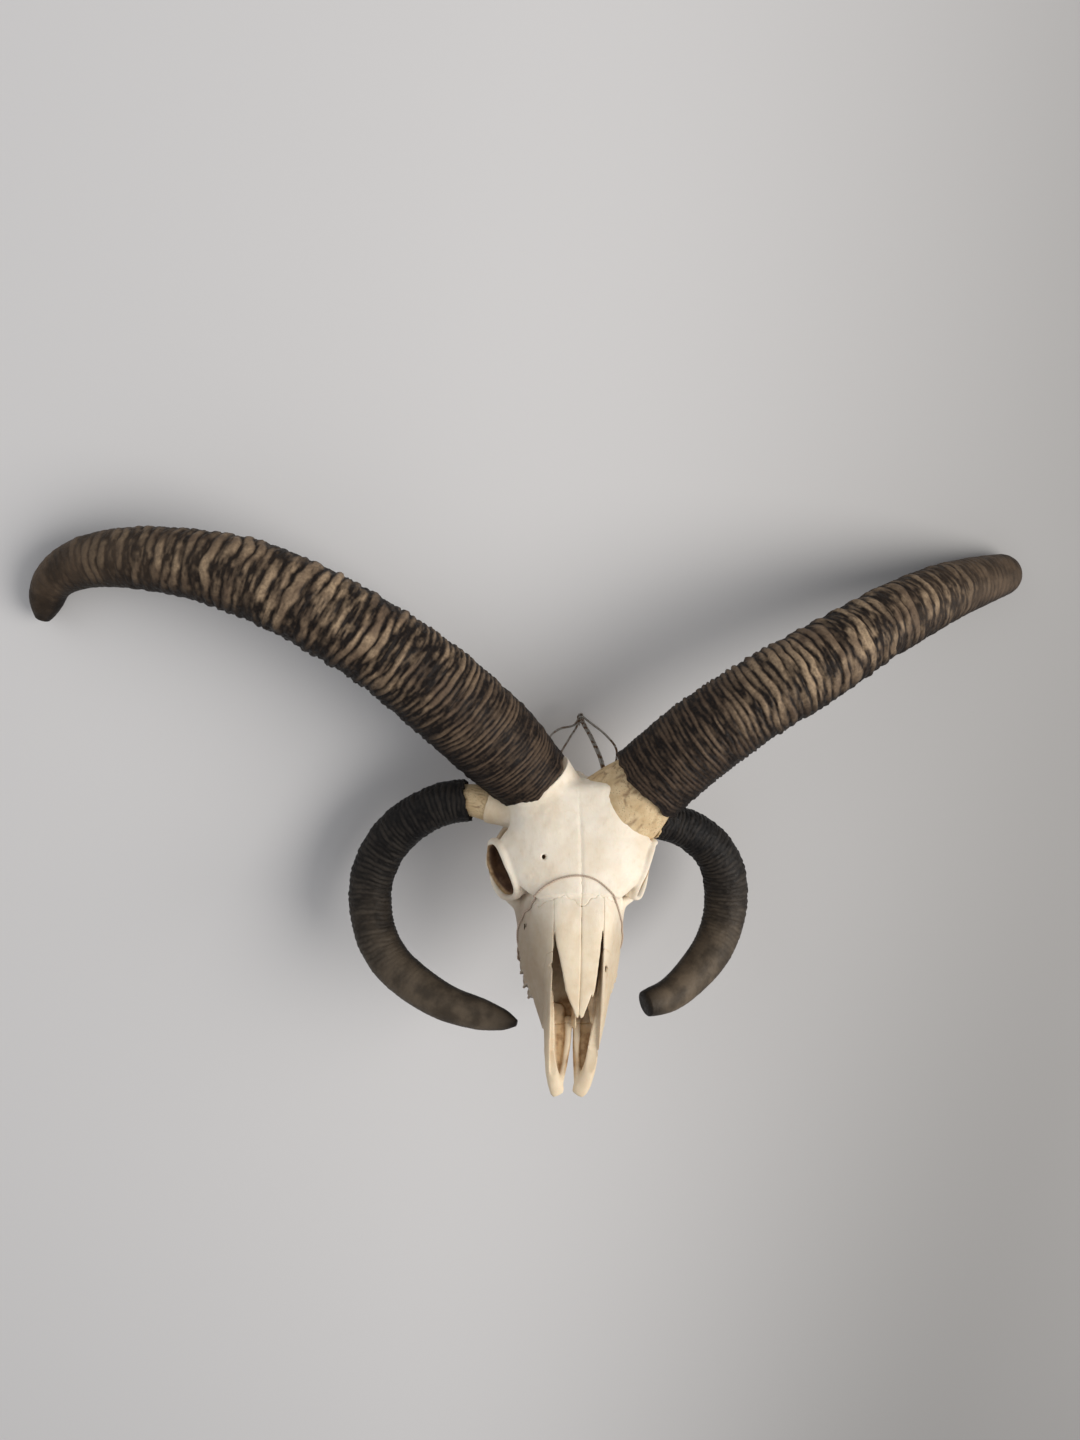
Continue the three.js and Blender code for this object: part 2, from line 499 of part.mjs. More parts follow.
// The braincase is one bone; every other one has a fellow across the midline.
const unpaired = [...UNDER_FRONTALS.slice(1), [140, -110], ...BEFORE_BRAINCASE.slice(1).reverse()];
const allAlong = [[-140, 60], [140, 60], [140, -110], [-140, -110]];
const midline = slab("side", allAlong, -GAP / 2, GAP / 2).subtract(slab("side", unpaired, -1, 1));
const zygomaticSutures = union(
  suture("side", ROUND_ZYGOMATIC, 29.8, 90),
  suture("plan", INSIDE_ZYGOMATIC, -67, -18),
);
const sutures = union(
  midline,
  suture("plan", NASOFRONTAL, -19.2, 40),
  suture("side", UNDER_FRONTALS, -90, 90),
  suture("side", BEFORE_BRAINCASE, -30, 30),
  suture("side", BEFORE_BRAINCASE.slice(-2), -40, 40),
  suture("side", BEHIND_PREMAXILLA, -40, 40),
  suture("side", ABOVE_PREMAXILLA, 14.6, 40),
  suture("side", ABOVE_PREMAXILLA, -40, -17.4),
  suture("side", UNDER_NASALS, -19.6, 19.6),
  suture("plan", [[16.2, -2], [16.2, -24]], -34, 20),
  suture("plan", [[-19.6, -2], [-19.6, -24]], -34, 20),
  both(zygomaticSutures),
);
const HORN_MESH = { upper: [12, 16], lower: [10, 15] };
const meshOf = (name) => HORN_MESH[name.split("_")[0]];
const seatOf = (name) => hornCore(HORNS[name], GAP).add(hornOutside(HORNS[name], ...meshOf(name), GAP));
const lowerSeats = seatOf("lower_left").add(seatOf("lower_right"));
const seats = union(lowerSeats, seatOf("upper_left"), seatOf("upper_right"));
const bones = whole.subtract(seats).subtract(sutures);

// A point inside each bone, for the left of a pair.
const INSIDE = {
  nasal: [8, -30, -13],
  frontal: [14, 44, 3],
  premaxilla: [16, -92, -57.5],
  maxilla: [30, -30, -71],
  zygomatic: [57.5, 22.5, -48],
};

// ---------------------------------------------------------------- the scene, tipped onto the floor
const skull = new THREE.Group();
skull.name = "ram_skull";
function add(name, body, material) {
  const mesh = new THREE.Mesh(geometryOf(body), material);
  mesh.name = name;
  skull.add(mesh);
}
for (const [name, [x, y, z]] of Object.entries(INSIDE)) {
  add(name + "_left", lumpAt(bones, [x, y, z]), MATERIALS.bone);
  add(name + "_right", lumpAt(bones, [-x + (y < -80 ? 2 * lean(y) : 0), y, z]), MATERIALS.bone);
}
add("braincase", lumpAt(bones, [0, 80, -50]), MATERIALS.bone);
for (const [name, horn] of Object.entries(HORNS)) {
  const sheath = hornOutside(horn, ...meshOf(name)).subtract(hornCore(horn, GAP));
  const core = hornCore(horn).subtract(wireOf(GAP));
  const upper = name.startsWith("upper");
  // The upper horns give way a little where the lower ones pass under them.
  const clear = (body) => largest(upper ? body.subtract(lowerSeats) : body);
  add("horn_core_" + name, clear(core), MATERIALS.core);
  add("horn_" + name, clear(sheath), upper ? MATERIALS.upperHorn : MATERIALS.lowerHorn);
}
add("hanging_wire", largest(wireOf(0)), MATERIALS.wire);
add("muzzle_string", largest(stringOf(0)), MATERIALS.string);

// The floor runs through the three resting points, with the nose pointing to -y.
const [a, b, c] = points(RESTS_ON);
const floorUp = b.clone().sub(a).cross(c.clone().sub(a)).normalize();
if (floorUp.z < 0) floorUp.negate();
const crownward = vec(0, 1, 0).addScaledVector(floorUp, -floorUp.y).normalize();
const leftward = crownward.clone().cross(floorUp);
const turn = new THREE.Matrix4().makeBasis(leftward, crownward, floorUp).transpose();
skull.quaternion.setFromRotationMatrix(turn);
skull.updateMatrixWorld(true);
const bounds = new THREE.Box3().setFromObject(skull, true);
const middle = bounds.getCenter(vec(0, 0, 0));
skull.position.set(-middle.x, -middle.y, -bounds.min.z);

export default skull;
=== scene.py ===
"""The looks of a four-horned ram skull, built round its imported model.

Shapes are worked out in the skull's own frame, in millimetres, and laid on the floor last:
    x  to the animal's left,  y  from the nose towards the crown,  z  out of the forehead.
The bones are drawn as one body on a fine grid of distances, which is then parted at the sutures.
The horns, their cores, the wires and the string are swept skins.
"""

import bpy
import numpy as np
import openvdb
from mathutils import Matrix, Vector


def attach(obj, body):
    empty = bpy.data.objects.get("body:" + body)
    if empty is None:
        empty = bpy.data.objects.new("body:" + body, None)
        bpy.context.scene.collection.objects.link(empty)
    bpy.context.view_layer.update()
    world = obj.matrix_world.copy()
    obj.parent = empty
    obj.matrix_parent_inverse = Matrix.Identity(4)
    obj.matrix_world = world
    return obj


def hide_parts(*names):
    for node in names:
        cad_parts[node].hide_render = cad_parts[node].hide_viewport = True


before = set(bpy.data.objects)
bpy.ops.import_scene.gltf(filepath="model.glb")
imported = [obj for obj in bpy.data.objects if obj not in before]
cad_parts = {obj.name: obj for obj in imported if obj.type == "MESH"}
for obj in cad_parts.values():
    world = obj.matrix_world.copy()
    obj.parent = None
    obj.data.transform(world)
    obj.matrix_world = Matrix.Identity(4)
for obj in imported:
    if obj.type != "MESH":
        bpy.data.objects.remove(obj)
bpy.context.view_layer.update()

# ------------------------------------------------------------------ driving sizes, mm
STEP = 0.7  # of the grid that the bones are drawn on
LOW = np.array([-76.0, -140.0, -96.0])  # corners of that grid
HIGH = np.array([76.0, 134.0, 28.0])
BAND = 8  # steps over which distances are kept
SUTURE = -0.5 * STEP  # gap between two bones; below 0 they run into each other
HEALED = -1.6 * STEP  # the same between the frontals, which are grown together
CREVICE = 5.0  # about how wide the hollows are that are painted with grime and shade
FINE = 1.0  # density of the swept skins

# What the skull lies on, and where its own origin, the nasion, is over the floor.
RESTS_ON = np.array([[368.4, 267.0, 41.7], [-384.6, 225.9, 41.0], [-27.5, 113.4, -89.0]])
NASION = np.array([13.41, -51.63, 143.92])

UPWARD = np.array([0.0, 0.0, 1.0])
SIDEWAYS = np.array([1.0, 0.0, 0.0])
FACE_ON = np.array([-0.126, -0.43, 0.894])  # the way the broad side of the horns looks


# ------------------------------------------------------------------ points, curves and noise
def unit(v):
    """Vectors scaled to a length of 1."""
    return v / np.maximum(np.linalg.norm(v, axis=-1, keepdims=True), 1e-9)


def circle(around):
    """Angles evenly spread round a circle."""
    return np.linspace(0, 2 * np.pi, around, endpoint=False)


def rise(value, start, span):
    """0 up to start, and from there evenly up to 1, a span further on."""
    return np.clip((value - start) / span, 0, 1)


def fall(value, end, span):
    """1 up to a span before end, and from there evenly down to 0."""
    return np.clip((end - value) / span, 0, 1)


def turn_to_floor():
    """The rotation from the skull's own frame to the floor's."""
    a, b, c = RESTS_ON
    up = unit(np.cross(b - a, c - a))
    up = up if up[2] > 0 else -up
    crownward = unit(np.array([0, 1, 0]) - up * up[1])
    return np.array([np.cross(crownward, up), crownward, up])


TURN = turn_to_floor()


def to_floor(points):
    """Points of the skull's own frame, in mm, as points over the floor, in metres."""
    return (np.asarray(points) @ TURN.T + NASION) * 0.001


def spline(points, t, closed=False, even=False):
    """Points at t, from 0 to 1, of the centripetal curve through points, or of the uniform one if even."""
    p = np.asarray(points, float)
    n = len(p)
    if closed:
        f = np.asarray(t, float) * n
        i = np.floor(f).astype(int)
        k = (f - i)[..., None]
        p0, p1, p2, p3 = (p[(i + d) % n] for d in (-1, 0, 1, 2))
    else:
        f = np.clip(np.asarray(t, float), 0, 1) * (n - 1)
        i = np.minimum(np.floor(f).astype(int), n - 2)
        k = (f - i)[..., None]
        q = np.vstack([2 * p[0] - p[1], p, 2 * p[-1] - p[-2]])
        p0, p1, p2, p3 = (q[i + d] for d in (0, 1, 2, 3))
    if even:
        m1, m2 = (p2 - p0) / 2, (p3 - p1) / 2
    else:
        d0, d1, d2 = (np.maximum(np.linalg.norm(b - a, axis=-1, keepdims=True), 1e-6) ** 0.5
                      for a, b in ((p0, p1), (p1, p2), (p2, p3)))
        m1 = ((p1 - p0) / d0 - (p2 - p0) / (d0 + d1) + (p2 - p1) / d1) * d1
        m2 = ((p2 - p1) / d1 - (p3 - p1) / (d1 + d2) + (p3 - p2) / d2) * d1
    return ((2 * k**3 - 3 * k**2 + 1) * p1 + (k**3 - 2 * k**2 + k) * m1
            + (3 * k**2 - 2 * k**3) * p2 + (k**3 - k**2) * m2)


def along(values, t):
    """A value between the entries of a list, eased through them."""
    values = np.atleast_1d(values).astype(float)
    if len(values) == 1:
        return np.full(np.shape(t), values[0])
    return spline(np.stack([np.arange(len(values)), values], 1), t)[..., 1]


def even_stations(line, count):
    """Stations evenly spread along a line: points, and the length up to each."""
    t = np.linspace(0, 1, 800)
    p = spline(line, t)
    length = np.concatenate([[0], np.cumsum(np.linalg.norm(np.diff(p, axis=0), axis=1))])
    at = np.linspace(0, length[-1], count)
    return spline(line, np.interp(at, length, t)), at


def noise(points, cell, seed):
    """Smooth noise, from about -1 to 1, in lumps `cell` across, at points of any dimension."""
    p = np.asarray(points, float) / cell
    base = np.floor(p).astype(np.int64)
    f = p - base
    f = f * f * (3 - 2 * f)
    total = 0.0
    primes = (73856093, 19349663, 83492791)
    for corner in np.ndindex(*(2,) * p.shape[-1]):
        h = np.full(p.shape[:-1], seed * 2654435761 % 2**31, np.int64)
        weight = 1.0
        for axis, c in enumerate(corner):
            h = h ^ ((base[..., axis] + c) * primes[axis])
            weight = weight * (f[..., axis] if c else 1 - f[..., axis])
        h = (h ^ (h >> 13)) * 1274126177 % 2**31
        h = (h ^ (h >> 15)) % 65536
        total = total + weight * (h / 32768.0 - 1)
    return total * 1.6


# ------------------------------------------------------------------ swept skins
NO_TRIS = np.zeros((0, 3), int)


def closed_skin(rings, looped=False):
    """A closed skin over rings of points: its points, quads and triangles."""
    count, around = rings.shape[:2]
    points = rings.reshape(-1, 3)
    i = np.arange(count if looped else count - 1)[:, None] * around
    j = np.arange(around)[None]
    nxt = (j + 1) % around
    up = (i + around) % (count * around)
    quads = np.stack([i + j, i + nxt, up + nxt, up + j], -1).reshape(-1, 4)
    if looped:
        return points, quads, NO_TRIS
    n = len(points)
    points = np.vstack([points, rings[0].mean(0), rings[-1].mean(0)])
    j, nxt = j[0], nxt[0]
    last = (count - 1) * around
    first_cap = np.stack([nxt, j, np.full(around, n)], -1)
    last_cap = np.stack([last + j, last + nxt, np.full(around, n + 1)], -1)
    return points, quads, np.vstack([first_cap, last_cap])


def sweep(line, across, deep, face, around=28, count=90, closed=False, round_ends=True):
    """Rings of a bar along a line, half its size across and along `face` given as a list."""
    t = np.linspace(0, 1, count, endpoint=not closed)
    p = spline(line, t, closed)
    before, after = (spline(line, (t + d) % 1 if closed else np.clip(t + d, 0, 1), closed)
                     for d in (-0.002, 0.002))
    tangent = unit(after - before)
    side = unit(np.cross(tangent, face))
    up = unit(np.cross(side, tangent))
    a, b = along(across, t), along(deep, t)
    if round_ends and not closed:
        length = np.linalg.norm(np.diff(p, axis=0), axis=1).sum()
        reach = np.minimum(t, 1 - t) * length / np.maximum((a + b) / 2, 1e-3)
        close = np.sqrt(np.clip(1 - (1 - np.clip(reach, 0, 1)) ** 2, 0.02, 1))
        a, b = a * close, b * close
    angle = circle(around)
    return (p[:, None] + side[:, None] * (np.cos(angle)[None] * a[:, None])[..., None]
            + up[:, None] * (np.sin(angle)[None] * b[:, None])[..., None])


def bar(line, across, deep, face=UPWARD, **options):
    """A swept bar as a closed skin. The options are those of sweep."""
    return closed_skin(sweep(line, across, deep, face, **options), options.get("closed", False))


def ball(centre, radii, turn, around=32):
    """An ellipsoid, turned by angles in degrees about x, y and z."""
    height = np.linspace(-1, 1, around + 1)[1:-1] * np.pi / 2
    angle = circle(around)
    rings = np.stack([np.cos(height)[:, None] * np.cos(angle), np.cos(height)[:, None] * np.sin(angle),
                      np.sin(height)[:, None] + 0 * angle], -1) * np.array(radii, float)
    x, y, z = np.radians(turn)
    spin = np.array(Matrix.Rotation(x, 3, "X") @ Matrix.Rotation(y, 3, "Y") @ Matrix.Rotation(z, 3, "Z"))
    return closed_skin(rings @ spin.T + np.array(centre, float))


def hull(stations, around=96, count=110, inset=0.0):
    """A body through stations along y, each [y, [x, z], ...] from the middle of the top to the bottom's."""
    t = np.linspace(0, 1, count)
    tracks = [spline([[s[k][0], s[0], s[k][1]] for s in stations], t, even=True)
              for k in range(1, len(stations[0]))]
    u = np.linspace(0, 1, around, endpoint=False)
    rings = []
    for i in range(count):
        half = np.array([track[i] for track in tracks])
        other = half[1:-1][::-1] * [-1, 1, 1]
        ring = spline(np.vstack([half, other]), u, closed=True)
        middle = ring.mean(0) * [0, 1, 1]
        inwards = middle - ring
        reach = np.linalg.norm(inwards, axis=1, keepdims=True)
        rings.append(ring + inwards * np.minimum(inset / np.maximum(reach, 1e-6), 0.9))
    return closed_skin(np.array(rings))


def mirrored(shape):
    """A shape on the other side of the skull."""
    points, quads, tris = shape
    return points * [-1, 1, 1], quads[:, ::-1], tris[:, ::-1]


def both(shape):
    """A shape of the left side and its twin of the right side."""
    return [shape, mirrored(shape)]


# ------------------------------------------------------------------ the grid of distances
SHAPE = tuple(np.ceil((HIGH - LOW) / STEP).astype(int) + 1)
CORNER = np.round(LOW / STEP).astype(int)
FAR = BAND * STEP


def axis_of(k):
    """The grid's coordinates along one axis."""
    return ((CORNER[k] + np.arange(SHAPE[k])) * STEP).astype(np.float32)


X, Y, Z = axis_of(0)[:, None, None], axis_of(1)[None, :, None], axis_of(2)[None, None, :]


def part_of_grid(low, high):
    """The slices of the grid that hold a box."""
    a = np.clip(np.floor(np.asarray(low) / STEP).astype(int) - CORNER - 1, 0, SHAPE)
    b = np.clip(np.ceil(np.asarray(high) / STEP).astype(int) - CORNER + 2, 0, SHAPE)
    return tuple(slice(i, j) for i, j in zip(a, b))


def distance_to(shape, reach):
    """A shape's distances, in mm and negative inside, over the part of the grid within reach of it."""
    points, quads, tris = shape
    grid = openvdb.FloatGrid.createLevelSetFromPolygons(
        points.astype(np.float32), triangles=tris.astype(np.uint32), quads=quads.astype(np.uint32),
        transform=openvdb.createLinearTransform(STEP), halfWidth=float(BAND))
    where = part_of_grid(points.min(0) - reach, points.max(0) + reach)
    values = np.full([s.stop - s.start for s in where], FAR, np.float32)
    if values.size:
        grid.copyToArray(values, ijk=tuple(int(s.start + c) for s, c in zip(where, CORNER)))
    return where, values


def soft_least(a, b, soft):
    """The lesser of two distances, with a fillet of about soft mm where they meet."""
    if not soft:
        return np.minimum(a, b)
    h = np.clip(0.5 + 0.5 * (b - a) / soft, 0, 1)
    return b * (1 - h) + a * h - soft * h * (1 - h)


def add(field, shapes, soft):
    """Joins shapes to a body, with fillets."""
    for shape in shapes:
        where, values = distance_to(shape, soft + 2 * STEP)
        field[where] = soft_least(field[where], values, soft)


def cut(field, shapes, soft):
    """Cuts shapes out of a body, with rounded edges."""
    for shape in shapes:
        where, values = distance_to(shape, soft + 2 * STEP)
        field[where] = -soft_least(-field[where], values, soft)


def flat_distance(outline, a, b):
    """Distance in a plane of the points (a, b) from a closed outline, negative inside."""
    a, b = np.broadcast_arrays(a, b)
    nearest = np.full(a.shape, 1e9)
    inside = np.zeros(a.shape, bool)
    for (x0, y0), (x1, y1) in zip(outline, outline[1:] + outline[:1]):
        dx, dy = x1 - x0, y1 - y0
        h = np.clip(((a - x0) * dx + (b - y0) * dy) / (dx * dx + dy * dy), 0, 1)
        nearest = np.minimum(nearest, (a - x0 - h * dx) ** 2 + (b - y0 - h * dy) ** 2)
        if dy:
            inside ^= ((y0 > b) != (y1 > b)) & (a < x0 + (b - y0) * dx / dy)
    return np.where(inside, -1, 1) * np.sqrt(nearest).astype(np.float32)


def grid_noise(cell, seed):
    """Smooth noise all over the grid, about -1 to 1, in lumps `cell` mm across."""
    counts = [int(n * STEP / cell) + 3 for n in SHAPE]
    values = np.random.default_rng(seed).uniform(-1, 1, counts).astype(np.float32)
    for k, n in enumerate(SHAPE):
        x = np.arange(n) * STEP / cell
        i = x.astype(int)
        f = x - i
        f = (f * f * (3 - 2 * f)).astype(np.float32).reshape([-1 if d == k else 1 for d in range(3)])
        values = values.take(i, k) * (1 - f) + values.take(i + 1, k) * f
    return values


def blurred(values, mm):
    """Values evened out over about mm, by two box blurs along each axis."""
    n = max(1, int(round(mm / STEP / 2)))
    for k in range(3):
        for _ in range(2):
            padded = np.pad(values, [(n + 1, n) if d == k else (0, 0) for d in range(3)], mode="edge")
            total = np.cumsum(padded, axis=k, dtype=np.float32)
            size = values.shape[k]
            values = (total.take(np.arange(2 * n + 1, 2 * n + 1 + size), k) - total.take(np.arange(size), k))
            values = values / (2 * n + 1)
    return values


def sample(values, points):
    """Values of the grid at points, in between its steps."""
    p = np.clip(np.asarray(points) / STEP - CORNER, 0, np.array(SHAPE) - 1.001)
    i = p.astype(int)
    f = p - i
    total = 0.0
    for a, b, c in np.ndindex(2, 2, 2):
        weight = ((f[:, 0] if a else 1 - f[:, 0]) * (f[:, 1] if b else 1 - f[:, 1])
                  * (f[:, 2] if c else 1 - f[:, 2]))
        total = total + weight * values[i[:, 0] + a, i[:, 1] + b, i[:, 2] + c]
    return total


def surface(values, where):
    """The surface where a part of the grid is zero: points and quads."""
    grid = openvdb.FloatGrid(FAR)
    grid.transform = openvdb.createLinearTransform(STEP)
    corner = tuple(int(s.start + c) for s, c in zip(where, CORNER))
    grid.copyFromArray(np.ascontiguousarray(values), ijk=corner)
    points, quads = grid.convertToQuads(0.0)
    return np.asarray(points, float), np.asarray(quads, int)[:, ::-1]


# ------------------------------------------------------------------ the face
# Half outlines: roof, nasal edge, upper cheek, lower cheek, tooth margin, edge and middle of the palate.
PALATE_Z = -70
MUZZLE = [
    [-83, [0, -41], [11, -42.5], [18.5, -50], [21.5, -60], [22.5, -70], [13, -72.5], [0, PALATE_Z - 1]],
    [-60, [0, -26], [15, -28], [22.5, -40], [27.5, -56], [28.5, -71], [17, -72.5], [0, PALATE_Z]],
    [-44, [0, -17.5], [17, -20], [25.5, -34], [33, -54], [34.5, -70], [20, -72], [0, PALATE_Z]],
    [-25, [0, -9], [18.5, -11.5], [28, -27], [36.5, -52], [38, -68], [22, -72], [0, PALATE_Z]],
    [-8, [0, -2.5], [20, -5], [31, -22], [38.5, -48], [37, -68], [22, -72], [0, PALATE_Z]],
    [6, [0, -2], [21, -6], [32, -21], [39, -44], [36, -68], [21, -72], [0, PALATE_Z]],
    [28, [0, -14], [18, -16], [27, -27], [30, -44], [32, -66], [19, -71], [0, PALATE_Z]],
]
# The nasal cavity is open in front, so its outline runs on past the end of the muzzle.
CAVITY = [
    [-96, [0, -45], [14, -47], [20, -55], [22, -62], [21, -68], [13, -70], [0, -68]],
    *MUZZLE[:5],
    [3, [0, -10], [9, -12], [15, -24], [17, -44], [15, -58], [9, -64], [0, -64]],
]
BONE_WALL = 2.4
LEAN = 0.12  # mm to the right for each mm towards the tip, from LEAN_FROM_Y on
LEAN_FROM_Y = -80


def lean(y):
    """How far the tip of the snout leans to the animal's right."""
    return LEAN * np.minimum(0, y - LEAN_FROM_Y)


def premaxilla(side):
    """The edge of the nasal opening, a rod beside the midline, the shelf between them and the flank below."""
    inward = 2.4 if side > 0 else 0.0  # the left bar is the nearer to the midline
    edge = [[18.5 - inward, -46, -26], [19.5 - inward, -60, -38], [19.4 - inward, -76, -49],
            [18 - inward, -92, -57.5], [15.6 - inward / 2, -108, -63], [11.6, -120, -66.8],
            [8.6, -126.6, -69.3], [6.8, -130.1, -70.8]]
    rod = [[7.8, -126, -69.5], [5.8, -114, -69], [4.2, -103, -68.5], [3.4, -90, -68], [3.3, -74, -67.5]]
    shelf = [[13.4, -64, -67.5], [12.4, -84, -68.5], [11.4, -100, -69.5], [9.6, -115, -70]]
    flank = [[22, -66, -60], [19.6, -84, -63.5], [17.2, -100, -66.5], [13, -114, -69]]
    if side > 0:
        edge = [[17.4, -38, -21], *edge]

    def leaning(points):
        """Points of the left side on this side, following the lean of the snout."""
        return [[side * x + lean(y), y, z] for x, y, z in points]

    return [
        bar(leaning(edge), [2.2, 2.6, 3.1, 3.7, 4.2, 4.9, 5.4, 4], [2.8, 4.2, 5.4, 5.4, 4.8, 3.6, 2.8, 1.4]),
        bar(leaning(rod), [3.2, 2.8, 2.7, 2.7, 2.8], [2.4, 2.2, 2.2, 2.3, 2.4]),
        bar(leaning(shelf), [8.4, 7.4, 6.4, 4.6], [1.8, 1.7, 1.7, 1.6]),
        bar(leaning(flank), [3, 2.6, 2.2, 1.6], [9, 6.5, 4, 1.8]),
    ]


# Each cheek tooth: how far along the row, how far out, half its length and width, and its lobes.
TEETH = [
    [-53, 27, 4.4, 4.2, 1],
    [-44, 29.5, 5.4, 5.2, 1],
    [-33, 31, 6.2, 6.0, 1],
    [-19.5, 31.5, 7.8, 6.6, 2],
    [-3, 31, 9.4, 6.8, 2],
    [15.5, 29, 10.2, 6.4, 3],
]
TOOTH_ROOT_Z, TOOTH_END_Z = -64.0, -87.0
CROWN_Z = -74  # what shows of a tooth below this has the colour of enamel


def tooth(y, x, long, wide, lobes):
    """A cheek tooth: a column for each lobe, with a rib down its outer side at each end of a lobe."""
    half = long / lobes
    shapes = []
    for i in range(lobes):
        middle = y - long + half * (2 * i + 1)
        line = [[x + 1.2, middle, TOOTH_ROOT_Z], [x, middle, TOOTH_END_Z]]
        shapes.append(bar(line, [half, half * 0.92], [wide, wide * 0.86], SIDEWAYS,
                          round_ends=False, count=12))
    for i in range(lobes + 1):
        place = y - long * 0.93 + 2 * half * 0.93 * i
        line = [[x + wide * 0.8, place, TOOTH_ROOT_Z], [x + wide * 0.76, place, TOOTH_END_Z + 0.6]]
        shapes.append(bar(line, [1.1, 0.9], [1.3, 1.1], SIDEWAYS, count=12))
    return shapes


def tooth_cups(y, x, long, wide, lobes):
    """The crescent cups in a tooth's worn end, two to a lobe."""
    half = long / lobes
    for i in range(lobes):
        middle = y - long + half * (2 * i + 1)
        for out in (-0.36, 0.4):
            line = [[x + wide * (out + 0.16), middle - half * 0.55, TOOTH_END_Z],
                    [x + wide * (out - 0.1), middle, TOOTH_END_Z],
                    [x + wide * (out + 0.16), middle + half * 0.55, TOOTH_END_Z]]
            yield bar(line, [0.5, 0.8, 0.5], [1.2, 1.6, 1.2], count=20, around=16)


# ------------------------------------------------------------------ the roof of the skull and the braincase
ROOF = [
    [-1, [0, 0.6], [12, -0.4], [24, -4], [30, -12], [22, -16], [0, -14]],
    [10, [0, 3], [18, 1], [37, -7], [43, -15], [31, -19], [0, -18]],
    [20, [0, 5.2], [22, 3.5], [43, -5], [50.5, -12], [37, -16], [0, -20]],
    [32, [0, 7.6], [26, 6], [45, -2], [53, -10], [40, -16], [0, -22]],
    [43, [0, 9.4], [28, 8], [47, -1], [57, -11], [44, -17], [0, -24]],
    [54, [0, 10.6], [29, 9.5], [43, 3], [50, -9], [40, -18], [0, -24]],
    [68, [0, 11.5], [30, 11], [44, 6], [50, -8], [42, -22], [0, -26]],
    [80, [0, 9.5], [26, 11], [42, 5], [46, -8], [38, -20], [0, -24]],
    [91, [0, -8], [20, -6], [34, -8], [38, -15], [30, -22], [0, -24]],
]
BRAINCASE = [
    [4, [0, -12], [16, -14], [25, -24], [25, -40], [20, -58], [10, -64], [0, -64]],
    [30, [0, -12], [18, -14], [27, -22], [26, -38], [18, -56], [9, -62], [0, -62]],
    [60, [0, -12], [26, -14], [36, -22], [36, -36], [24, -54], [11, -63], [0, -63]],
    [82, [0, -10], [30, -13], [41, -26], [41, -40], [30, -56], [12, -67], [0, -67]],
    [96, [0, -20], [24, -22], [37, -32], [41, -44], [34, -58], [14, -68], [0, -68]],
    [108, [0, -40], [20, -41], [33, -45], [36, -53], [30, -62], [13, -67], [0, -67]],
]

# ------------------------------------------------------------------ the orbits and the cheek arches
ORBIT_CENTRE = np.array([54.0, 26.0, -28.5])
ORBIT_OUT = unit(np.array([0.84, -0.48, 0.25]))
ORBIT_R = 22.0
ORBIT_SQUEEZE = 0.84
# Cones about the orbit's axis: the radii of their inner and outer ends, and where along the axis these lie.
ORBIT_BODY = (15, ORBIT_R + 1.8, -34, -1)
ORBIT_CUP = (9.4, ORBIT_R + 1.2, -33.4, -4)
ORBIT_HOLLOW = (8, ORBIT_R, -32, 8)
# The rim of the left orbit, from the front round over the top.
RIM = [[44.5, 7, -30], [45, 11, -17], [51.5, 24, -10], [57.5, 40, -11], [61.5, 46, -20],
       [61.5, 45.5, -33], [60, 36, -44], [57.5, 22.5, -48], [51.5, 10.5, -43.5]]


def orbit_cone(inner, outer, start, end, bulging=False):
    """A cone about the orbit's axis, from inside the skull out to the rim, with straight or bulging sides."""
    z = unit(UPWARD - ORBIT_OUT * ORBIT_OUT[2])
    x = np.cross(ORBIT_OUT, z)
    angle = circle(64)
    rings = []
    for t in np.linspace(0, 1, 30):
        r = inner + (outer - inner) * (np.sqrt(t) if bulging else t)
        ring = np.outer(np.sin(angle) * r, x) + np.outer(np.cos(angle) * r * ORBIT_SQUEEZE, z)
        rings.append(ORBIT_CENTRE + ORBIT_OUT * (start + (end - start) * t) + ring)
    return closed_skin(np.array(rings))


def in_orbit(points):
    """How deep in an orbit points lie, from 0 at its rim to 1 well inside."""
    x, y, z = points.T
    away = np.stack([np.abs(x), y, z], 1) - ORBIT_CENTRE
    along_axis = away @ ORBIT_OUT
    off_axis = np.linalg.norm(away - along_axis[:, None] * ORBIT_OUT, axis=1)
    inside = fall(off_axis, ORBIT_R + 0.2, 1.5) * rise(along_axis, -36, 3)
    return inside * fall(along_axis, 1.5, 4) ** 0.6


# The hollow of the temple, seen from the side, and how near the midline it reaches.
TEMPLE = [[47, -64], [40, -46], [44, -24], [54, -22], [66, -40], [84, -42], [84, -62]]
TEMPLE_X = 40
ARCH = [[60.5, 34, -47], [61, 46, -51.5], [54.5, 58, -55], [46, 70, -56], [38, 80, -53]]
CHEEK = [[33, -24, -58], [35, -8, -55], [39, 6, -52], [50, 14, -48]]
NUCHAL = [[-34, 97, -50], [-24, 102, -43], [0, 103, -42], [24, 102, -43], [34, 97, -50]]
PAROCCIPITAL = [[31, 101, -56], [31, 106, -70], [28.5, 110, -81], [26.5, 111, -88.4]]
BASE = [[0, 30, -62], [0, 60, -63], [0, 88, -66], [0, 104, -67], [0, 116, -65]]
HAMULUS = [[13, 30, -66], [12.5, 44, -70], [12, 52, -78]]
